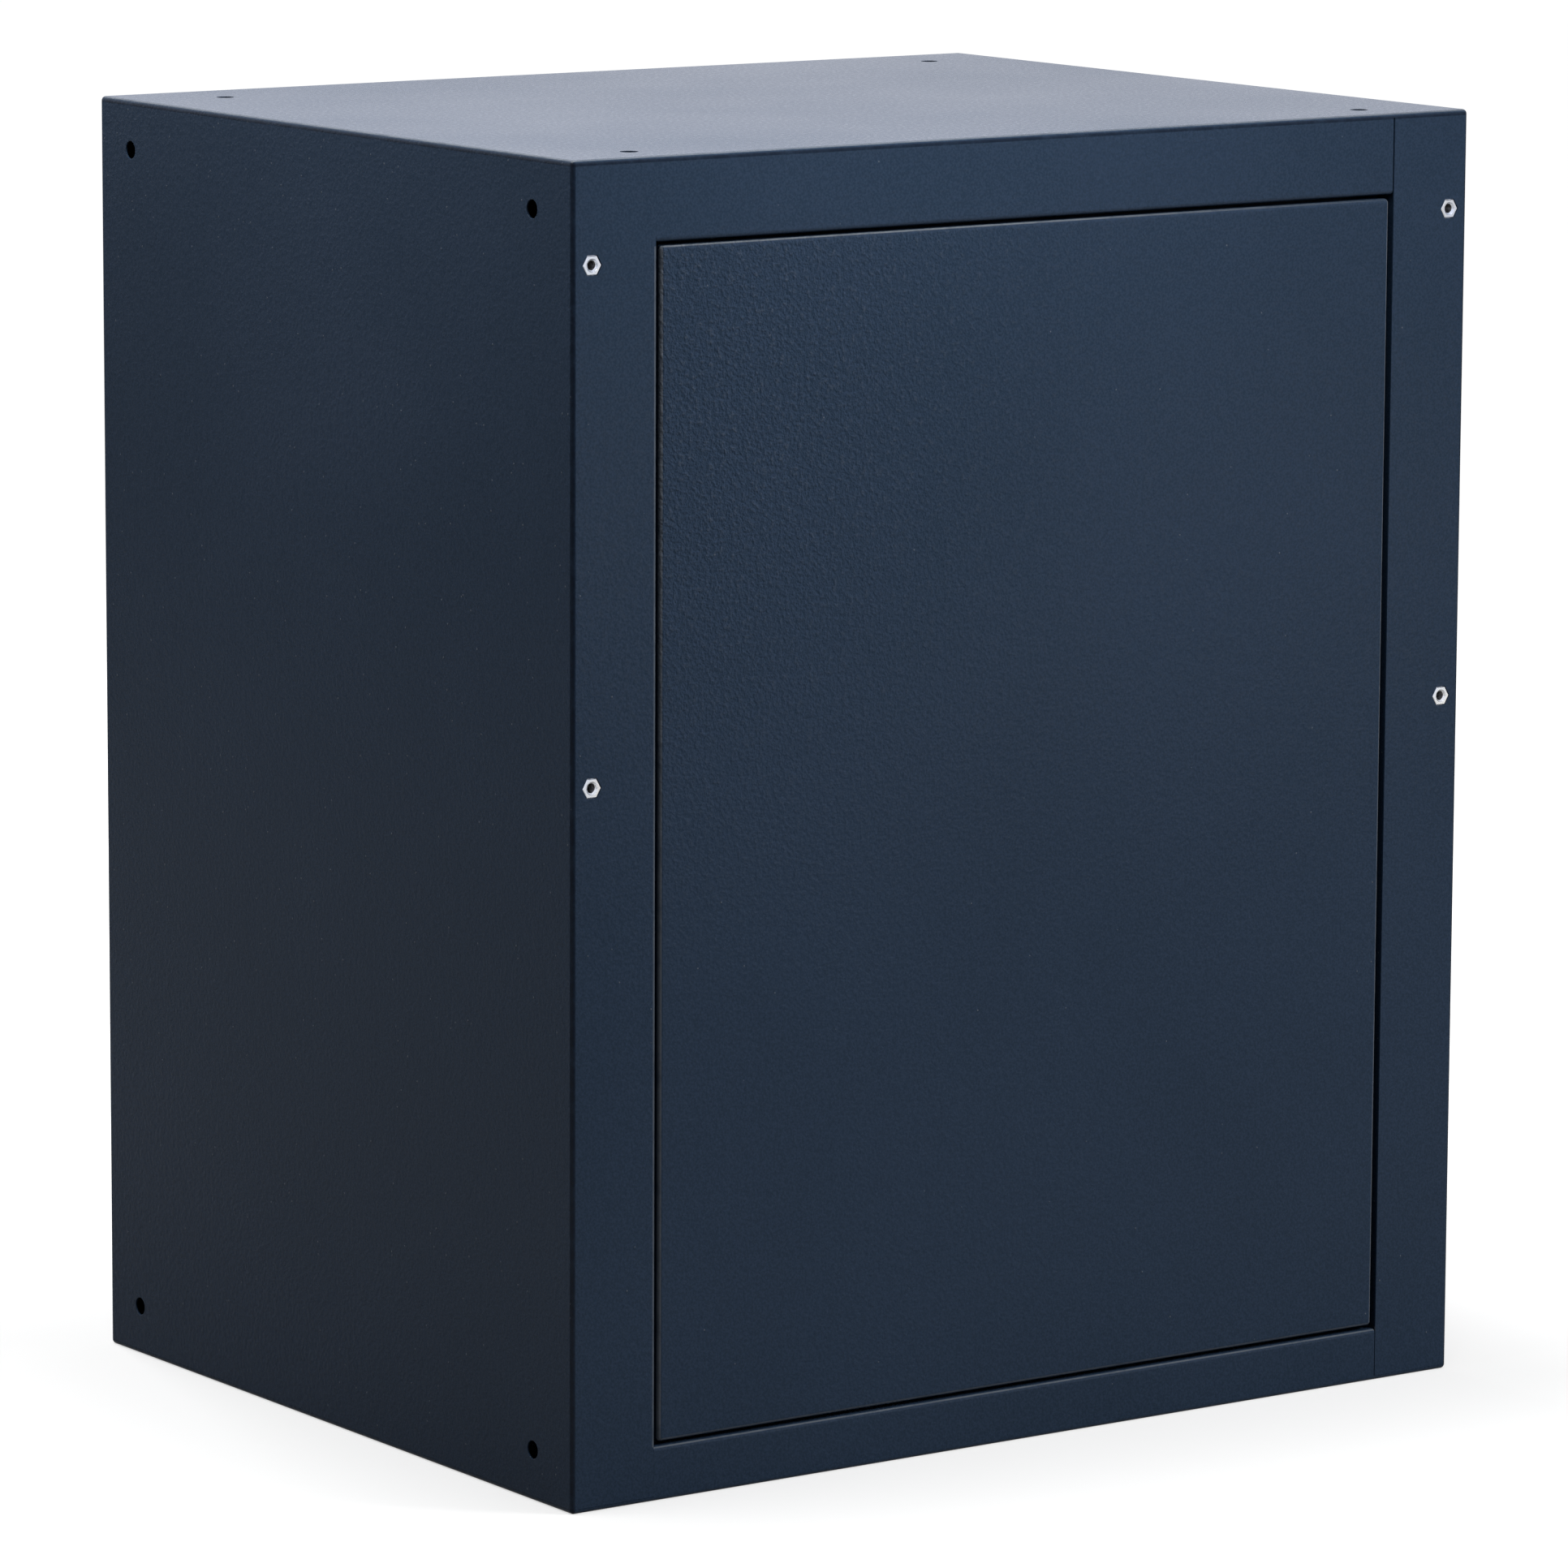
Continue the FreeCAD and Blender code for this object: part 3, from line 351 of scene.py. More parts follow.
def powder_coat(name, lines=(), thick=None):
    """Fine orange peel with faint clouds, nibs in the coat tinted pale as painted glints, and lines of
    painted highlight and painted shade along edges, folds and holes.

    The peel is coarser near the point thick, where its crests are tinted pale as painted glints, and finer on
    the cabinet's top.
    """
    coat = bpy.context.scene.cabinet_coat
    finish, graph = new_finish(name)
    place = graph.place()
    clouds = graph.noise(place, 220 * MM, 3.0)
    grain = graph.noise(place, coat.peel_size * 0.55)
    peel = graph.noise(place, coat.peel_size)
    line_noise = graph.noise(place, 12 * MM, 3.0, 0.6)
    cells = {"Vector": place, "Scale": 1 / (5 * MM)}
    nib_gap = graph.add("ShaderNodeTexVoronoi", None, cells)
    nib_pick = graph.add("ShaderNodeTexVoronoi", None, cells, out="Color")
    chosen = graph.split(nib_pick)[0].ramp(0.965, 0.975)
    nib = nib_gap.ramp(0.12, 0.06) * chosen
    dark = [part * share for part, share in zip(coat.colour, (0.76, 0.81, 0.81))]
    light = [part * share for part, share in zip(coat.colour, (1.28, 1.2, 1.19))]
    shade = graph.tint(clouds.ramp(0.3, 0.7) * 0.25 + grain.ramp(0.3, 0.7) * 0.75, dark, light)
    # Nibs are raised in the bump and tinted pale: the pale tint is a painted glint.
    shade = graph.tint(nib * 0.35, shade, coat.highlight_colour)
    # Each line paints a band of highlight or shade over the coat, patchy along its length.
    for colour, share, low, high, *soft in lines:
        line = inside_share(graph, place, low, high, soft[0] if soft else LINE_SOFT)
        shade = graph.tint(line * share * (0.6 + line_noise.ramp(0.3, 0.6) * 0.4), shade, colour)
    crest = CAD_BOX[1].z
    flat = 1 - graph.split(place)[2].ramp(crest - 0.6 * MM, crest - 0.1 * MM) * 0.5
    relief = (0.8 + clouds.ramp(0.35, 0.7) * 0.4) * flat
    if thick:
        gap = graph.add("ShaderNodeVectorMath", {"operation": "DISTANCE"}, {0: place, 1: thick}, out="Value")
        coarse = gap.ramp(360 * MM, 20 * MM)
        relief = relief + coarse * coat.peel_spread
        # Pale tint on the peel's crests near thick: painted glints.
        shade = graph.tint(peel.ramp(0.56, 0.76) * coarse * 0.1, shade, coat.highlight_colour)
    height = (peel * 0.8 + grain * 0.2) * relief + nib * 0.5
    graph.surface(
        Base_Color=shade,
        Roughness=coat.roughness + (clouds - 0.5) * 0.12 - peel.ramp(0.45, 0.7) * flat * 0.12,
        Specular_IOR_Level=coat.gloss,
        Normal=graph.bump(height, coat.peel_depth),
    )
    return finish


def zinc_plate():
    """Bright zinc with a faint yellow and blue cast and fine drawing lines, made once."""
    if "bright_zinc" in bpy.data.materials:
        return bpy.data.materials["bright_zinc"]
    colour = bpy.context.scene.cabinet_hardware.zinc_colour
    finish, graph = new_finish("bright_zinc")
    place = graph.place()
    cast = graph.noise(place, 20 * MM)
    lines = graph.noise(graph.stretched(place, (1.0, 0.08, 1.0)), 0.35 * MM)
    pits = graph.noise(place, 0.9 * MM)
    warm = (colour[0] * 1.02, colour[1], colour[2] * 0.95)
    cool = (colour[0] * 0.95, colour[1] * 0.98, colour[2] * 1.03)
    graph.surface(
        Base_Color=graph.tint(cast.ramp(0.3, 0.7), warm, cool),
        Metallic=1.0,
        Roughness=0.27 + (cast - 0.5) * 0.08 + (lines - 0.5) * 0.06,
        Normal=graph.bump(lines * 0.6 + pits * 0.4, 0.006 * MM, 0.6),
    )
    return finish


def shaded_thread():
    """Steel of a cut thread, coloured dark as painted shade deep inside a bore."""
    finish, graph = new_finish("shaded_thread")
    place = graph.place()
    smear = graph.noise(place, 1.6 * MM)
    graph.surface(
        Base_Color=graph.tint(smear.ramp(0.35, 0.65), (0.05, 0.05, 0.052), (0.14, 0.14, 0.145)),
        Metallic=1.0,
        Roughness=0.36 + smear * 0.16,
        Normal=graph.bump(smear, 0.02 * MM, 0.6),
    )
    return finish


def satin_nickel():
    """Nickel with rings left by turning."""
    low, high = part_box("key_barrel")
    centre = (low + high) / 2
    colour = bpy.context.scene.cabinet_hardware.nickel_colour
    finish, graph = new_finish("satin_nickel")
    place = graph.place()
    x, _, z = graph.split(place)
    radius = ((x - centre.x) ** 2 + (z - centre.z) ** 2) ** 0.5
    turns = radius * (math.tau / (0.28 * MM))
    rings = turns.maths("SINE", turns)
    smear = graph.noise(place, 2 * MM, 3.0)
    dull = tuple(part * 0.86 for part in colour)
    graph.surface(
        Base_Color=graph.tint(smear.ramp(0.35, 0.7), dull, colour),
        Metallic=1.0,
        Roughness=0.2 + smear * 0.12,
        Normal=graph.bump(rings * 0.5 + smear * 0.5, 0.012 * MM, 0.7),
    )
    return finish


def moulded(name, colour, size, depth, roughness, spread, gloss):
    """Moulded or cast surface with an even fine grain."""
    finish, graph = new_finish(name)
    place = graph.place()
    grain = graph.noise(place, size, 2.0, 0.6)
    clouds = graph.noise(place, 30 * MM)
    low = [part * 0.88 for part in colour]
    high = [part * 1.14 for part in colour]
    graph.surface(
        Base_Color=graph.tint(clouds.ramp(0.3, 0.7) * 0.6 + grain * 0.4, low, high),
        Roughness=roughness + (grain - 0.5) * spread + (clouds - 0.5) * spread,
        Specular_IOR_Level=gloss,
        Normal=graph.bump(grain, depth),
    )
    return finish


def give_finish(node, finish):
    """Finish on a solid that stays in view."""
    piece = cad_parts[node]
    if not piece.material_slots:
        piece.data.materials.append(finish)
    for slot in piece.material_slots:
        slot.material = finish
    return piece


def ease_edges(piece, radius, steps=2):
    """Rounds the sharp edges of a solid that stays in view."""
    weld = piece.modifiers.new("join", "WELD")
    weld.merge_threshold = 0.002 * MM
    flat = piece.modifiers.new("flat", "DECIMATE")
    flat.decimate_type = "DISSOLVE"
    flat.angle_limit = math.radians(0.4)
    bevel = piece.modifiers.new("ease", "BEVEL")
    bevel.limit_method = "ANGLE"
    bevel.angle_limit = math.radians(40)
    bevel.width = radius
    bevel.segments = steps
    bevel.use_clamp_overlap = True
    smooth = piece.modifiers.new("even", "WEIGHTED_NORMAL")
    smooth.weight = 60
    smooth.keep_sharp = False


def finish_solids(nodes, finish, radius):
    """One finish and one edge radius for several solids."""
    for node in nodes:
        ease_edges(give_finish(node, finish), radius)


def ring(shape, height, steps):
    """Points round the Y axis; shape is a radius or a function of angle and height."""
    points = []
    for step in range(steps):
        angle = math.tau * step / steps
        radius = shape(angle, height) if callable(shape) else shape
        points.append(Vector((radius * math.cos(angle), height, radius * math.sin(angle))))
    return points


def skin(bm, rings, closed=False):
    """Faces through rings of one count; open ends are capped."""
    rows = [[bm.verts.new(point) for point in points] for points in rings]
    pairs = list(zip(rows, rows[1:]))
    if closed:
        pairs.append((rows[-1], rows[0]))
    else:
        bm.faces.new(rows[0])
        bm.faces.new(rows[-1])
    for low, high in pairs:
        for corners in zip(low, low[1:] + low[:1], high[1:] + high[:1], high):
            bm.faces.new(corners)


def turned(profile, steps, closed=False):
    """Piece turned about the Y axis from pairs of shape and height."""
    bm = bmesh.new()
    skin(bm, [ring(shape, height, steps) for shape, height in profile], closed)
    bmesh.ops.recalc_face_normals(bm, faces=bm.faces)
    return bm


def hexagon(flats, limit=1.0):
    """Hexagon with a level flat at its top, cut by a circle of radius limit."""
    def radius(angle, height):
        return min(flats / 2 / math.cos(angle % (math.pi / 3) - math.pi / 6), limit)
    return radius


def thread(crest, depth, pitch, start, end):
    """Profile of a screw thread from start to end."""
    def radius(angle, height):
        phase = (height / pitch - angle / math.tau) % 1
        return crest - depth * abs(2 * phase - 1)
    count = max(2, round(abs(end - start) / pitch * 6))
    return [(radius, start + (end - start) * step / count) for step in range(count + 1)]


def arc(centre, radius, start, end, count=6):
    """Pairs of radius and height along a fillet; angles in degrees."""
    pairs = []
    for step in range(count + 1):
        angle = math.radians(start + (end - start) * step / count)
        pairs.append((centre[0] + radius * math.cos(angle), centre[1] + radius * math.sin(angle)))
    return pairs


def carved(context, solid, cutter):
    """Solid with the cutter taken away."""
    items = []
    for shape in (solid, cutter):
        bmesh.ops.recalc_face_normals(shape, faces=shape.faces)
        mesh = bpy.data.meshes.new("shape")
        shape.to_mesh(mesh)
        shape.free()
        item = bpy.data.objects.new("shape", mesh)
        context.scene.collection.objects.link(item)
        items.append(item)
    cut = items[0].modifiers.new("cut", "BOOLEAN")
    cut.operation = "DIFFERENCE"
    cut.solver = "EXACT"
    cut.object = items[1]
    result = bmesh.new()
    result.from_object(items[0], context.evaluated_depsgraph_get())
    for item in items:
        bpy.data.meshes.remove(item.data)
    return result


def repeated(shape, places, base=None):
    """The same shape at several places, added to a base if there is one."""
    mesh = bpy.data.meshes.new("shape")
    shape.to_mesh(mesh)
    shape.free()
    result = bmesh.new() if base is None else base
    for place in places:
        copy = mesh.copy()
        copy.transform(place)
        result.from_mesh(copy)
        bpy.data.meshes.remove(copy)
    bpy.data.meshes.remove(mesh)
    return result


def add_piece(context, name, shape, finish, body, slot, *nodes):
    """New piece on a body, in place of some solids."""
    mesh = bpy.data.meshes.new(name)
    shape.to_mesh(mesh)
    shape.free()
    mesh.shade_smooth()
    mesh.set_sharp_from_angle(angle=SHARP_ANGLE)
    mesh.materials.append(finish)
    piece = bpy.data.objects.new(name, mesh)
    context.scene.collection.objects.link(piece)
    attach(piece, body)
    if nodes:
        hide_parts(*nodes)
    return piece


def cross_cutter(reach, width, top, depth):
    """Tapered cross that cuts a screw's recess."""
    rings = []
    for height, share in ((top - 0.4 * MM, 1.12), (top, 1.0), (top + depth, 0.5)):
        points = []
        for quarter in range(4):
            turn = Matrix.Rotation(quarter * math.pi / 2, 3, "Y")
            for x, z in ((reach, -width), (reach, width), (width, width)):
                points.append(turn @ Vector((x * share, height, -z * share)))
        rings.append(points)
    shape = bmesh.new()
    skin(shape, rings)
    return shape


def pan_screw(context, head, head_height, shank, length, pitch, steps):
    """Pan-head screw with a cross recess; its head points to -Y and its seat is at 0."""
    crown = ((0.3, 1.0), (0.62, 0.97), (0.82, 0.87), (0.94, 0.69), (1.0, 0.42), (1.0, 0.1), (0.97, 0.0))
    profile = [(head * r, -head_height * h) for r, h in crown]
    profile.append((shank, 0.0))
    profile += thread(shank, pitch * 0.55, pitch, 0.3 * MM, length - 0.7 * MM)
    profile.append((shank * 0.62, length))
    cutter = cross_cutter(head * 0.52, head * 0.12, -head_height, head_height * 0.66)
    return carved(context, turned(profile, steps), cutter)


class CABINET_OT_coat(bpy.types.Operator):
    """Give all sheets their powder coat and rounded cut edges"""

    bl_idname = "cabinet.coat"
    bl_label = "Coat the sheets"

    def execute(self, context):
        coat = context.scene.cabinet_coat
        radius = coat.edge_radius
        self.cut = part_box("side_panel_right")[0].x
        self.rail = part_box("bottom_panel")[1].z
        self.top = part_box("top_panel")[0].z - GAP_END
        finish = powder_coat("carcass_coat", self.carcass_lines(coat.highlight_colour, coat.fold_colour))
        finish_solids(CARCASS_SHEETS, finish, radius)
        finish_solids(("top_panel",), finish, 0.4 * radius)
        corner = (0.9 * self.cut, CAD_BOX[1].y, 0.92 * self.top)
        finish = powder_coat("panel_coat", self.panel_lines(coat.highlight_colour), corner)
        finish_solids(("rear_panel",), finish, radius)
        finish_solids(DOOR_SHEETS, powder_coat("door_coat", self.door_lines(coat.highlight_colour)), radius)
        finish_solids(SHELF_SHEETS, powder_coat("shelf_coat"), radius)
        return {"FINISHED"}

    def carcass_lines(self, highlight, fold):
        """Painted highlights round the rear opening and along the top's edges, painted shade along the folds
        and under the top's edges, and painted shade on the walls of the top's holes.
        """
        low, high = CAD_BOX
        cut, rail = self.cut, self.rail
        back, face = high.y + MM, high.y - 1.2 * MM
        crest, ridge, eaves = high.z - 0.8 * MM, high.z - 1.4 * MM, high.z - 3.2 * MM
        lines = [
            (highlight, 0.55, (-cut, face, rail - MM), (cut, back, rail + MM)),
            (highlight, 0.35, (cut - MM, face, rail), (cut + 1.1 * MM, back, self.top)),
            (highlight, 0.5, (low.x, high.y - 1.9 * MM, crest), (high.x, high.y - 0.8 * MM, high.z + MM)),
            (highlight, 0.5, (high.x - 1.9 * MM, low.y, crest), (high.x - 0.8 * MM, high.y, high.z + MM)),
            (fold, 0.8, (low.x, face, eaves), (high.x, back, ridge)),
            (fold, 0.8, (high.x - 1.2 * MM, low.y, eaves), (high.x + MM, high.y, ridge)),
        ]
        bend = 2.1 * MM
        for x in (low.x, high.x - bend):
            for y in (low.y, high.y - bend):
                lines.append((fold, 0.9, (x, y, low.z), (x + bend, y + bend, high.z - MM)))
        inset = Vector((3, 3, 0)) * MM
        lines.append((fold, 1.0, (*(low + inset).xy, high.z - MM), (*(high - inset).xy, high.z - 0.22 * MM)))
        return lines

    def panel_lines(self, highlight):
        """Painted highlights along the rear panel's edges; the upper one fades to one side."""
        back, face = CAD_BOX[1].y + MM, CAD_BOX[1].y - 1.2 * MM
        side, foot, top = self.cut - GAP_SIDE, self.rail + GAP_END, self.top
        fade = (250 * MM, *LINE_SOFT[1:])
        lines = [
            (highlight, 0.8, (-120 * MM, face - MM, top - 0.8 * MM), (600 * MM, back, top - 0.1 * MM), fade),
            (highlight, 0.3, (-side, face, foot + 0.6 * MM), (side, back, foot + 1.8 * MM)),
        ]
        for x in (-0.1 * MM - side, side - 1.5 * MM):
            lines.append((highlight, 0.55, (x, face - 1.2 * MM, foot), (x + 1.6 * MM, back, top)))
        return lines

    def door_lines(self, highlight):
        """Painted highlight along the door's upper edge."""
        low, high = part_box("door_skin")
        start = (low.x, low.y - MM, self.top - 1.3 * MM)
        end = (high.x, low.y + 1.2 * MM, self.top - 0.1 * MM)
        return [(highlight, 0.7, start, end)]


class CABINET_OT_seams(bpy.types.Operator):
    """Fill the welded seams between the right rear stile and the rails, and coat them over"""

    bl_idname = "cabinet.seams"
    bl_label = "Filled seams"

    def execute(self, context):
        low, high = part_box("side_panel_right")
        bend = 2.6 * MM
        rail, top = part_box("bottom_panel")[1].z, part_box("top_panel")[0].z
        outline = ((-0.6, -0.7), (-0.6, -0.04), (-0.25, 0.0), (0.25, 0.0), (0.6, -0.04), (0.6, -0.7))
        shape = bmesh.new()
        for start, end in ((low.z + 0.2 * MM, rail - bend), (top + bend, high.z - 0.2 * MM)):
            rings = []
            for step in range(25):
                height = start + (end - start) * step / 24
                sink = (0.03 + 0.02 * math.sin(step * 1.7) + 0.015 * math.sin(step * 4.1)) * MM
                points = []
                for x, y in outline:
                    points.append(Vector((low.x - 0.05 * MM + x * MM, high.y + y * MM - sink, height)))
                rings.append(points)
            skin(shape, rings)
        bmesh.ops.recalc_face_normals(shape, faces=shape.faces)
        add_piece(context, "filled_seams", shape, bpy.data.materials["carcass_coat"], "carcass", "paint")
        return {"FINISHED"}


class CABINET_OT_rivet_nuts(bpy.types.Operator):
    """Make the four threaded hexagonal rivet nuts of the rear stiles"""

    bl_idname = "cabinet.rivet_nuts"
    bl_label = "Rivet nuts"

    def execute(self, context):
        hardware = context.scene.cabinet_hardware
        low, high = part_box("rivet_nuts")
        flats, chamfer, mouth = hardware.nut_flats, hardware.nut_chamfer, hardware.nut_mouth / 2
        back = low.y - high.y
        collar = 6.5 * MM
        profile = [
            (hexagon(flats - 2 * chamfer), 0.0),
            (hexagon(flats), -chamfer),
            (hexagon(flats), -1.25 * MM),
            (collar - 0.5 * MM, -1.3 * MM),
            (collar, -2.0 * MM),
            (collar, -3.7 * MM),
            (collar - 0.7 * MM, -4.5 * MM),
            (hexagon(flats), -4.7 * MM),
            (hexagon(flats), back + 0.4 * MM),
            (hexagon(flats - 0.8 * MM), back),
            (3.2 * MM, back),
        ]
        profile += thread(3.0 * MM, 0.5 * MM, hardware.nut_pitch, back + 0.4 * MM, -1.0 * MM)
        profile += [(mouth - 0.45 * MM, -0.8 * MM), (mouth - 0.1 * MM, -0.3 * MM), (mouth + 0.1 * MM, 0.0)]
        shape = turned(profile, hardware.turn_steps, closed=True)
        places = []
        for x in (low.x + collar, high.x - collar):
            for z in (low.z + collar, high.z - collar):
                places.append(Matrix.Translation((x, high.y, z)))
        shape = repeated(shape, places)
        piece = add_piece(
            context, "threaded_rivet_nuts", shape, zinc_plate(), "carcass", "zinc", "rivet_nuts")
        # Thread faces deeper than 1.3 mm in each bore take the dark finish: painted shade.
        piece.data.materials.append(shaded_thread())
        for face in piece.data.polygons:
            gap = min((face.center - place.translation).xz.length for place in places)
            if gap < mouth - 0.2 * MM and face.center.y < high.y - 1.3 * MM:
                face.material_index = 1
        return {"FINISHED"}


class CABINET_OT_screws(bpy.types.Operator):
    """Make the cross-recess screws of the rear panel, the lock and the rod guides"""

    bl_idname = "cabinet.screws"
    bl_label = "Screws"

    def execute(self, context):
        self.panel_screws(context)
        self.lock_screws(context)
        self.guide_screws(context)
        return {"FINISHED"}

    def panel_screws(self, context):
        """Two rows of four screws that hold the rear panel."""
        low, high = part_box("rear_panel_screws")
        head, seat = 4.75 * MM, low.y + 3.0 * MM
        pitch = context.scene.cabinet_hardware.screw_pitch
        shape = pan_screw(context, head, seat - low.y, 2.5 * MM, high.y - seat, pitch, 32)
        places = []
        for x in (low.x + head, high.x - head):
            for row in range(4):
                z = low.z + head + (high.z - low.z - 2 * head) * row / 3
                places.append(Matrix.Translation((x, seat, z)) @ Matrix.Rotation(row * 1.3 + x, 4, "Y"))
        shape = repeated(shape, places)
        add_piece(context, "panel_screws", shape, zinc_plate(), "carcass", "zinc", "rear_panel_screws")

    def lock_screws(self, context):
        """Two screws of the clamp bracket."""
        low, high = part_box("lock_screws")
        head, seat = 4.75 * MM, high.y - 3.0 * MM
        pitch = context.scene.cabinet_hardware.screw_pitch
        shape = pan_screw(context, head, high.y - seat, 2.5 * MM, seat - low.y, pitch, 32)
        turn = Matrix.Rotation(math.pi, 4, "Z")
        middle = (low.x + high.x) / 2
        places = []
        for z in (low.z + head, high.z - head):
            places.append(Matrix.Translation((middle, seat, z)) @ turn @ Matrix.Rotation(z * 9, 4, "Y"))
        add_piece(
            context, "bracket_screws", repeated(shape, places), zinc_plate(), "door", "zinc", "lock_screws")

    def guide_screws(self, context):
        """Two small screws in each rod guide."""
        low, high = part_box("guide_screws")
        head, seat = 2.75 * MM, high.y - 2.0 * MM
        pitch = context.scene.cabinet_hardware.screw_pitch * 0.625
        shape = pan_screw(context, head, high.y - seat, 1.5 * MM, seat - low.y, pitch, 24)
        turn = Matrix.Rotation(math.pi, 4, "Z")
        places = []
        for guide in ("rod_guide_upper", "rod_guide_lower"):
            bottom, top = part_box(guide)
            middle = (bottom + top) / 2
            for side in (-13.4 * MM, 13.4 * MM):
                places.append(Matrix.Translation((middle.x + side, seat, middle.z)) @ turn)
        add_piece(
            context, "small_screws", repeated(shape, places), zinc_plate(), "door", "zinc", "guide_screws")


class CABINET_OT_handle(bpy.types.Operator):
    """Make the handle dish, the turning grip, the key barrel and the nut behind them"""

    bl_idname = "cabinet.handle"
    bl_label = "Handle and lock"

    def execute(self, context):
        hardware = context.scene.cabinet_hardware
        low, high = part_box("handle_grip")
        middle = (low + high) / 2
        self.centre = Matrix.Translation((middle.x, 0, middle.z))
        self.dish(context, hardware)
        self.grip(context, hardware)
        self.key(context, hardware)
        self.nut(context, hardware)
        return {"FINISHED"}

    def dish(self, context, hardware):
        """Shallow moulded dish with a ring in its floor and two screw bosses behind."""
        low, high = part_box("handle_dish")
        rim, wall, fillet = (high.x - low.x) / 2, hardware.dish_radius, hardware.dish_fillet
        front, seat = low.y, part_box("door_skin")[0].y
        floor = seat + hardware.dish_depth
        back = floor + 1.5 * MM
        profile = [(rim, seat), (rim, front + 0.6 * MM)]
        profile += arc((rim - 0.6 * MM, front + 0.6 * MM), 0.6 * MM, -15, -90, 4)
        profile += arc((wall + 1.5 * MM, front + 1.5 * MM), 1.5 * MM, -90, -180, 6)
        profile += arc((wall - 0.6 * MM - fillet, floor - fillet), fillet, 0, 90, 8)
        groove = floor + 0.4 * MM
        profile += [(32 * MM, floor), (31.6 * MM, groove), (30.4 * MM, groove), (30 * MM, floor)]
        profile += [(6.8 * MM, floor), (6.1 * MM, floor + 0.5 * MM), (6.1 * MM, back)]
        profile += [(wall + 0.6 * MM, back), (wall + 1.5 * MM, back - 1.2 * MM), (wall + 1.5 * MM, seat)]
        shape = turned(profile, 2 * hardware.turn_steps, closed=True)
        root, tip = back - 0.4 * MM, high.y
        boss = [(5.5 * MM, root), (5.35 * MM, tip - 0.5 * MM), (4.9 * MM, tip)]
        boss += [(3.1 * MM, tip), (2.6 * MM, tip - 0.5 * MM), (2.6 * MM, root)]
        places = [Matrix.Translation((0, 0, z)) for z in (-36 * MM, 36 * MM)]
        shape = repeated(turned(boss, 32, closed=True), places, shape)
        shape.transform(self.centre)
        finish = moulded("black_dish", hardware.black_colour, 0.7 * MM, 0.05 * MM, 0.42, 0.14, 0.4)
        add_piece(context, "moulded_dish", shape, finish, "door", "dish", "handle_dish")

    def grip(self, context, hardware):
        """Rounded bar on a hub, with the plated spindle behind it."""
        low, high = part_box("handle_grip")
        front, seat = low.y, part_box("door_skin")[0].y
        reach, width, hub = high.x - low.x, hardware.grip_width, (high.z - low.z) / 2
        bar_back = front + 11.2 * MM
        hub_back = seat + hardware.dish_depth - 0.2 * MM

        def outline(inset):
            half = width / 2 - inset
            straight = reach / 2 - width / 2

            def radius(angle, height):
                along, across = abs(math.cos(angle)), max(abs(math.sin(angle)), 1e-6)
                bar = half / across
                if bar * along > straight:
                    bar = straight * along + math.sqrt(half ** 2 - (straight * across) ** 2)
                return (bar ** 8 + (hub - inset) ** 8) ** 0.125
            return radius

        bend = hardware.grip_round
        profile = [(7.05 * MM, front + 11.0 * MM), (7.05 * MM, front + 0.5 * MM), (7.5 * MM, front)]
        profile += [(outline(bend - r), front + bend + h) for r, h in arc((0, 0), bend, -90, 0, 6)]
        profile += [(outline(0.0), bar_back - 0.8 * MM), (outline(0.3 * MM), bar_back - 0.2 * MM)]
        profile += [(outline(1.0 * MM), bar_back), (hub - 1.1 * MM, bar_back)]
        profile += [(hub - 1.1 * MM, hub_back - 0.4 * MM), (hub - 1.5 * MM, hub_back), (6.0 * MM, hub_back)]
        profile += [(6.0 * MM, seat + 19.0 * MM), (5.0 * MM, seat + 19.0 * MM)]
        profile += [(5.0 * MM, high.y - 0.6 * MM), (4.4 * MM, high.y)]
        shape = turned(profile, 5 * hardware.turn_steps)
        shape.transform(self.centre)
        finish = moulded("black_grip", hardware.black_colour, 0.5 * MM, 0.03 * MM, 0.34, 0.12, 0.45)
        piece = add_piece(context, "turning_grip", shape, finish, "handle", "grip", "handle_grip")
        piece.data.materials.append(zinc_plate())
        for face in piece.data.polygons:
            if face.center.y > hub_back + 0.1 * MM:
                face.material_index = 1

    def key(self, context, hardware):
        """Turned key barrel with a groove and a key slot."""
        low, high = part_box("key_barrel")
        front, back = low.y, high.y
        radius = (high.x - low.x) / 2 - 0.05 * MM
        groove = front + 0.25 * MM
        profile = [(radius - 2.0 * MM, front), (radius - 1.8 * MM, groove)]
        profile += [(radius - 1.4 * MM, groove), (radius - 1.2 * MM, front), (radius - 0.45 * MM, front)]
        profile += [(radius, front + 0.45 * MM), (radius, back - 0.3 * MM), (radius - 0.3 * MM, back)]
        outline = (
            (-0.8, -4.0), (0.8, -4.0), (0.8, -1.4), (0.3, -0.8),
            (0.8, -0.2), (0.8, 4.0), (-0.8, 4.0), (-0.8, 1.0),
        )
        rings = []
        for height, spread in ((-0.5, 0.5), (0.0, 0.3), (0.3, 0.0), (7.0, 0.0)):
            points = []
            for x, z in outline:
                wide = Vector((math.copysign(spread, x), 0, math.copysign(spread, z)))
                points.append((Vector((x, height, z)) + wide) * MM + Vector((0, front, 0)))
            rings.append(points)
        cutter = bmesh.new()
        skin(cutter, rings)
        shape = carved(context, turned(profile, 2 * hardware.turn_steps), cutter)
        shape.transform(self.centre)
        add_piece(context, "nickel_barrel", shape, satin_nickel(), "key", "key", "key_barrel")

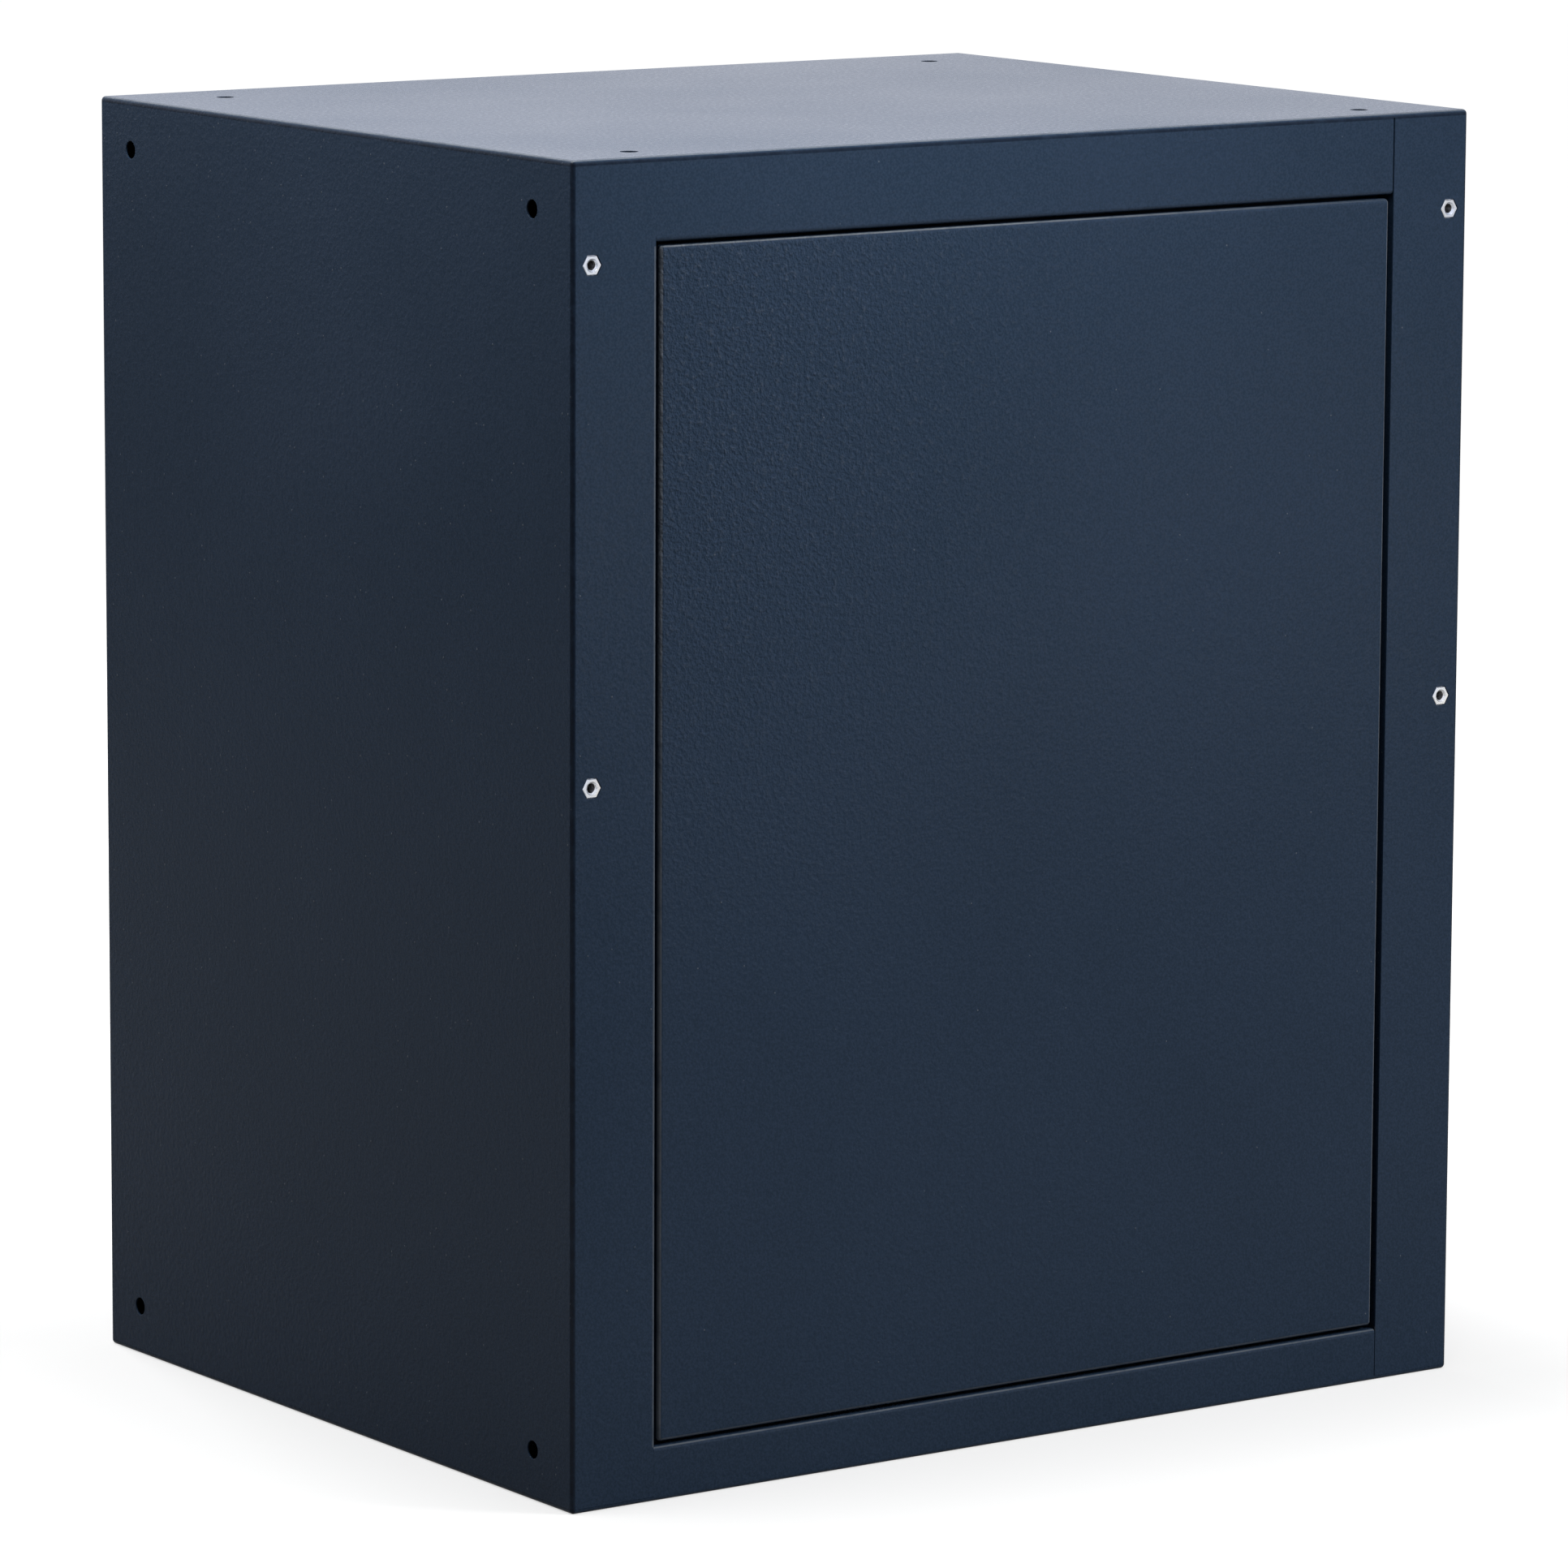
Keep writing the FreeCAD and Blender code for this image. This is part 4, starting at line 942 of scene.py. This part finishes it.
    def nut(self, context, hardware):
        """Chamfered hexagonal nut on the spindle's tail."""
        low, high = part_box("tail_nut")
        flats, corner = 15.5 * MM, (high.x - low.x) / 2 - 0.05 * MM
        bore, seat = 5.05 * MM, low.y + 0.06 * MM
        profile = [
            (hexagon(flats, corner - 1.3 * MM), seat),
            (hexagon(flats, corner), seat + 0.7 * MM),
            (hexagon(flats, corner), high.y - 0.7 * MM),
            (hexagon(flats, corner - 1.3 * MM), high.y),
            (bore + 0.6 * MM, high.y),
            (bore, high.y - 0.6 * MM),
            (bore, seat + 0.6 * MM),
            (bore + 0.6 * MM, seat),
        ]
        shape = turned(profile, 2 * hardware.turn_steps, closed=True)
        shape.transform(self.centre)
        add_piece(context, "hexagonal_tail_nut", shape, zinc_plate(), "handle", "zinc", "tail_nut")


class CABINET_OT_fittings(bpy.types.Operator):
    """Give the rods, pins, clips, bushes, guides and buffers their finishes"""

    bl_idname = "cabinet.fittings"
    bl_label = "Rods, pins and bushes"

    def execute(self, context):
        hardware = context.scene.cabinet_hardware
        finish_solids(ZINC_SOLIDS, zinc_plate(), 0.25 * MM)
        nylon = moulded("dark_nylon", hardware.nylon_colour, 1.2 * MM, 0.04 * MM, 0.4, 0.15, 0.45)
        finish_solids(NYLON_SOLIDS, nylon, 0.4 * MM)
        rubber = moulded("black_rubber", hardware.black_colour, 0.4 * MM, 0.05 * MM, 0.72, 0.12, 0.25)
        finish_solids(("door_buffers",), rubber, 0.5 * MM)
        return {"FINISHED"}


class CABINET_OT_stage(bpy.types.Operator):
    """Set up the camera, the soft boxes, the floor and the light from all round"""

    bl_idname = "cabinet.stage"
    bl_label = "Set the stage"

    def execute(self, context):
        studio = context.scene.cabinet_studio
        self.camera(context, studio)
        self.floor(context, studio)
        self.world(context, studio)
        middle = (0, 0, 0.4)
        lamps = (
            ("rear_soft_box", (0.08, 0.6, 1.0), (0.08, 0.2, 0.6), (0.4, 0.4), studio.rear_lamp, False),
            ("key_soft_box", (-2.4, 2.4, 2.2), middle, (1.2, 1.2), studio.key_lamp, False),
            ("side_soft_box", (0.75, 0.0, 1.5), (0.3, 0.1, 0.4), (0.6, 0.6), studio.side_lamp, True),
            ("low_soft_box", (2.4, 0.0, 1.4), middle, (1.0, 1.0), studio.low_lamp, True),
            ("top_soft_box", (-0.2, -0.2, 2.3), middle, (1.2, 1.2), studio.top_lamp, True),
            ("door_soft_box", (0.2, -2.8, 1.3), middle, (1.2, 1.2), studio.door_lamp, False),
            ("white_card", (-1.43, 2.3, 0.16), (0, 0.24, 0.5), (1.1, 0.5), studio.card_lamp, True),
        )
        for lamp in lamps:
            self.soft_box(context, *lamp)
        context.scene.view_settings.view_transform = "Standard"
        return {"FINISHED"}

    def camera(self, context, studio):
        """Camera at the eye, turned about its own axis by the roll."""
        eye = Vector(studio.eye)
        back = (eye - Vector(studio.aim)).normalized()
        level = Vector((0, 0, 1)).cross(back).normalized()
        upright = back.cross(level)
        right = level * math.cos(studio.roll) + upright * math.sin(studio.roll)
        up = back.cross(right)
        turn = Matrix((right, up, back)).transposed().to_4x4()
        lens = bpy.data.cameras.new("view")
        lens.lens = studio.lens
        lens.sensor_width = 36
        lens.clip_end = 200
        camera = bpy.data.objects.new("view", lens)
        camera.matrix_world = Matrix.Translation(eye) @ turn
        context.scene.collection.objects.link(camera)
        context.scene.camera = camera

    def rays(self, graph):
        """1 for rays from the camera or through glass, and 1 for rays from glossy surfaces."""
        node = graph.add("ShaderNodeLightPath").socket.node
        names = ("Is Camera Ray", "Is Transmission Ray", "Is Glossy Ray")
        camera, through, glossy = (Signal(graph, node.outputs[name]) for name in names)
        return camera.most(through), glossy

    def floor(self, context, studio):
        """Pale floor that shows as white away from the object and keeps its shadow; clear from below."""
        bm = bmesh.new()
        bmesh.ops.create_circle(bm, cap_ends=True, radius=studio.floor_radius, segments=96)
        mesh = bpy.data.meshes.new("floor")
        bm.to_mesh(mesh)
        bm.free()
        finish, graph = new_finish("pale_floor")
        x, y, _ = graph.split(graph.place())
        high = CAD_BOX[1]
        away = (abs(x) - high.x).most(abs(y) - high.y)
        behind = y - high.y
        near = behind.ramp(-0.05, 0.05) * behind.ramp(1.8, 0.1)
        seen, glossy = self.rays(graph)
        dull = (studio.floor_bounce,) * 3
        pale = graph.add("ShaderNodeBsdfDiffuse", None, {"Color": graph.tint(seen, dull, (0.4, 0.4, 0.4))})
        level = seen.most(glossy * (studio.floor_mirror + near * studio.near_mirror))
        glow = level * (0.62 + away.ramp(0.0, 0.45) * 0.38) * away.ramp(-8 * MM, 0.0)
        light = graph.add("ShaderNodeEmission", None, {"Color": glow, "Strength": 1.0})
        both = graph.add("ShaderNodeAddShader", None, {0: pale, 1: light})
        below = graph.add("ShaderNodeNewGeometry", out="Backfacing")
        clear = graph.add("ShaderNodeBsdfTransparent")
        shown = graph.add("ShaderNodeMixShader", None, {0: below, 1: both, 2: clear})
        graph.add("ShaderNodeOutputMaterial", None, {"Surface": shown})
        mesh.materials.append(finish)
        floor = bpy.data.objects.new("floor", mesh)
        context.scene.collection.objects.link(floor)

    def world(self, context, studio):
        """White for the camera, tinted in glossy surfaces, and a faint even light for all else."""
        world = bpy.data.worlds.new("studio")
        world.use_nodes = True
        context.scene.world = world
        graph = Graph(world.node_tree)
        seen, glossy = self.rays(graph)
        shade = graph.tint(seen, (studio.fill,) * 3, (1, 1, 1))
        shade = graph.tint(glossy, shade, [part * studio.mirror_level for part in studio.mirror_tint])
        light = graph.add("ShaderNodeBackground", None, {"Color": shade, "Strength": 1.0})
        graph.add("ShaderNodeOutputWorld", None, {"Surface": light})

    def soft_box(self, context, name, place, aim, size, power, mirrored):
        """Area lamp that the camera doesn't see; mirrored if glossy surfaces do."""
        lamp = bpy.data.lights.new(name, "AREA")
        lamp.shape = "RECTANGLE"
        lamp.size, lamp.size_y = size
        lamp.energy = power
        box = bpy.data.objects.new(name, lamp)
        box.location = place
        box.rotation_euler = (Vector(aim) - Vector(place)).to_track_quat("-Z", "Y").to_euler()
        box.visible_camera = False
        box.visible_glossy = mirrored
        context.scene.collection.objects.link(box)


class CABINET_PT_panel(bpy.types.Panel):
    """Lists the steps and their values"""

    bl_idname = "CABINET_PT_panel"
    bl_label = "Workshop cabinet"
    bl_space_type = "VIEW_3D"
    bl_region_type = "UI"
    bl_category = "Cabinet"

    def draw(self, context):
        for step in STEPS:
            self.layout.operator(step.bl_idname)
        for name, group in GROUPS.items():
            box = self.layout.box()
            for key in group.__annotations__:
                box.prop(getattr(context.scene, name), key)


GROUPS = {"cabinet_coat": Coat, "cabinet_hardware": Hardware, "cabinet_studio": Studio}
STEPS = (
    CABINET_OT_coat, CABINET_OT_seams, CABINET_OT_rivet_nuts, CABINET_OT_screws,
    CABINET_OT_handle, CABINET_OT_fittings, CABINET_OT_stage,
)


def register():
    for item in (*GROUPS.values(), *STEPS, CABINET_PT_panel):
        bpy.utils.register_class(item)
    for name, group in GROUPS.items():
        setattr(bpy.types.Scene, name, PointerProperty(type=group))


def unregister():
    for name in GROUPS:
        delattr(bpy.types.Scene, name)
    for item in (CABINET_PT_panel, *STEPS, *GROUPS.values()):
        bpy.utils.unregister_class(item)


def main():
    register()
    for step in STEPS:
        family, name = step.bl_idname.split(".")
        getattr(getattr(bpy.ops, family), name)()


if __name__ == "__main__":
    main()
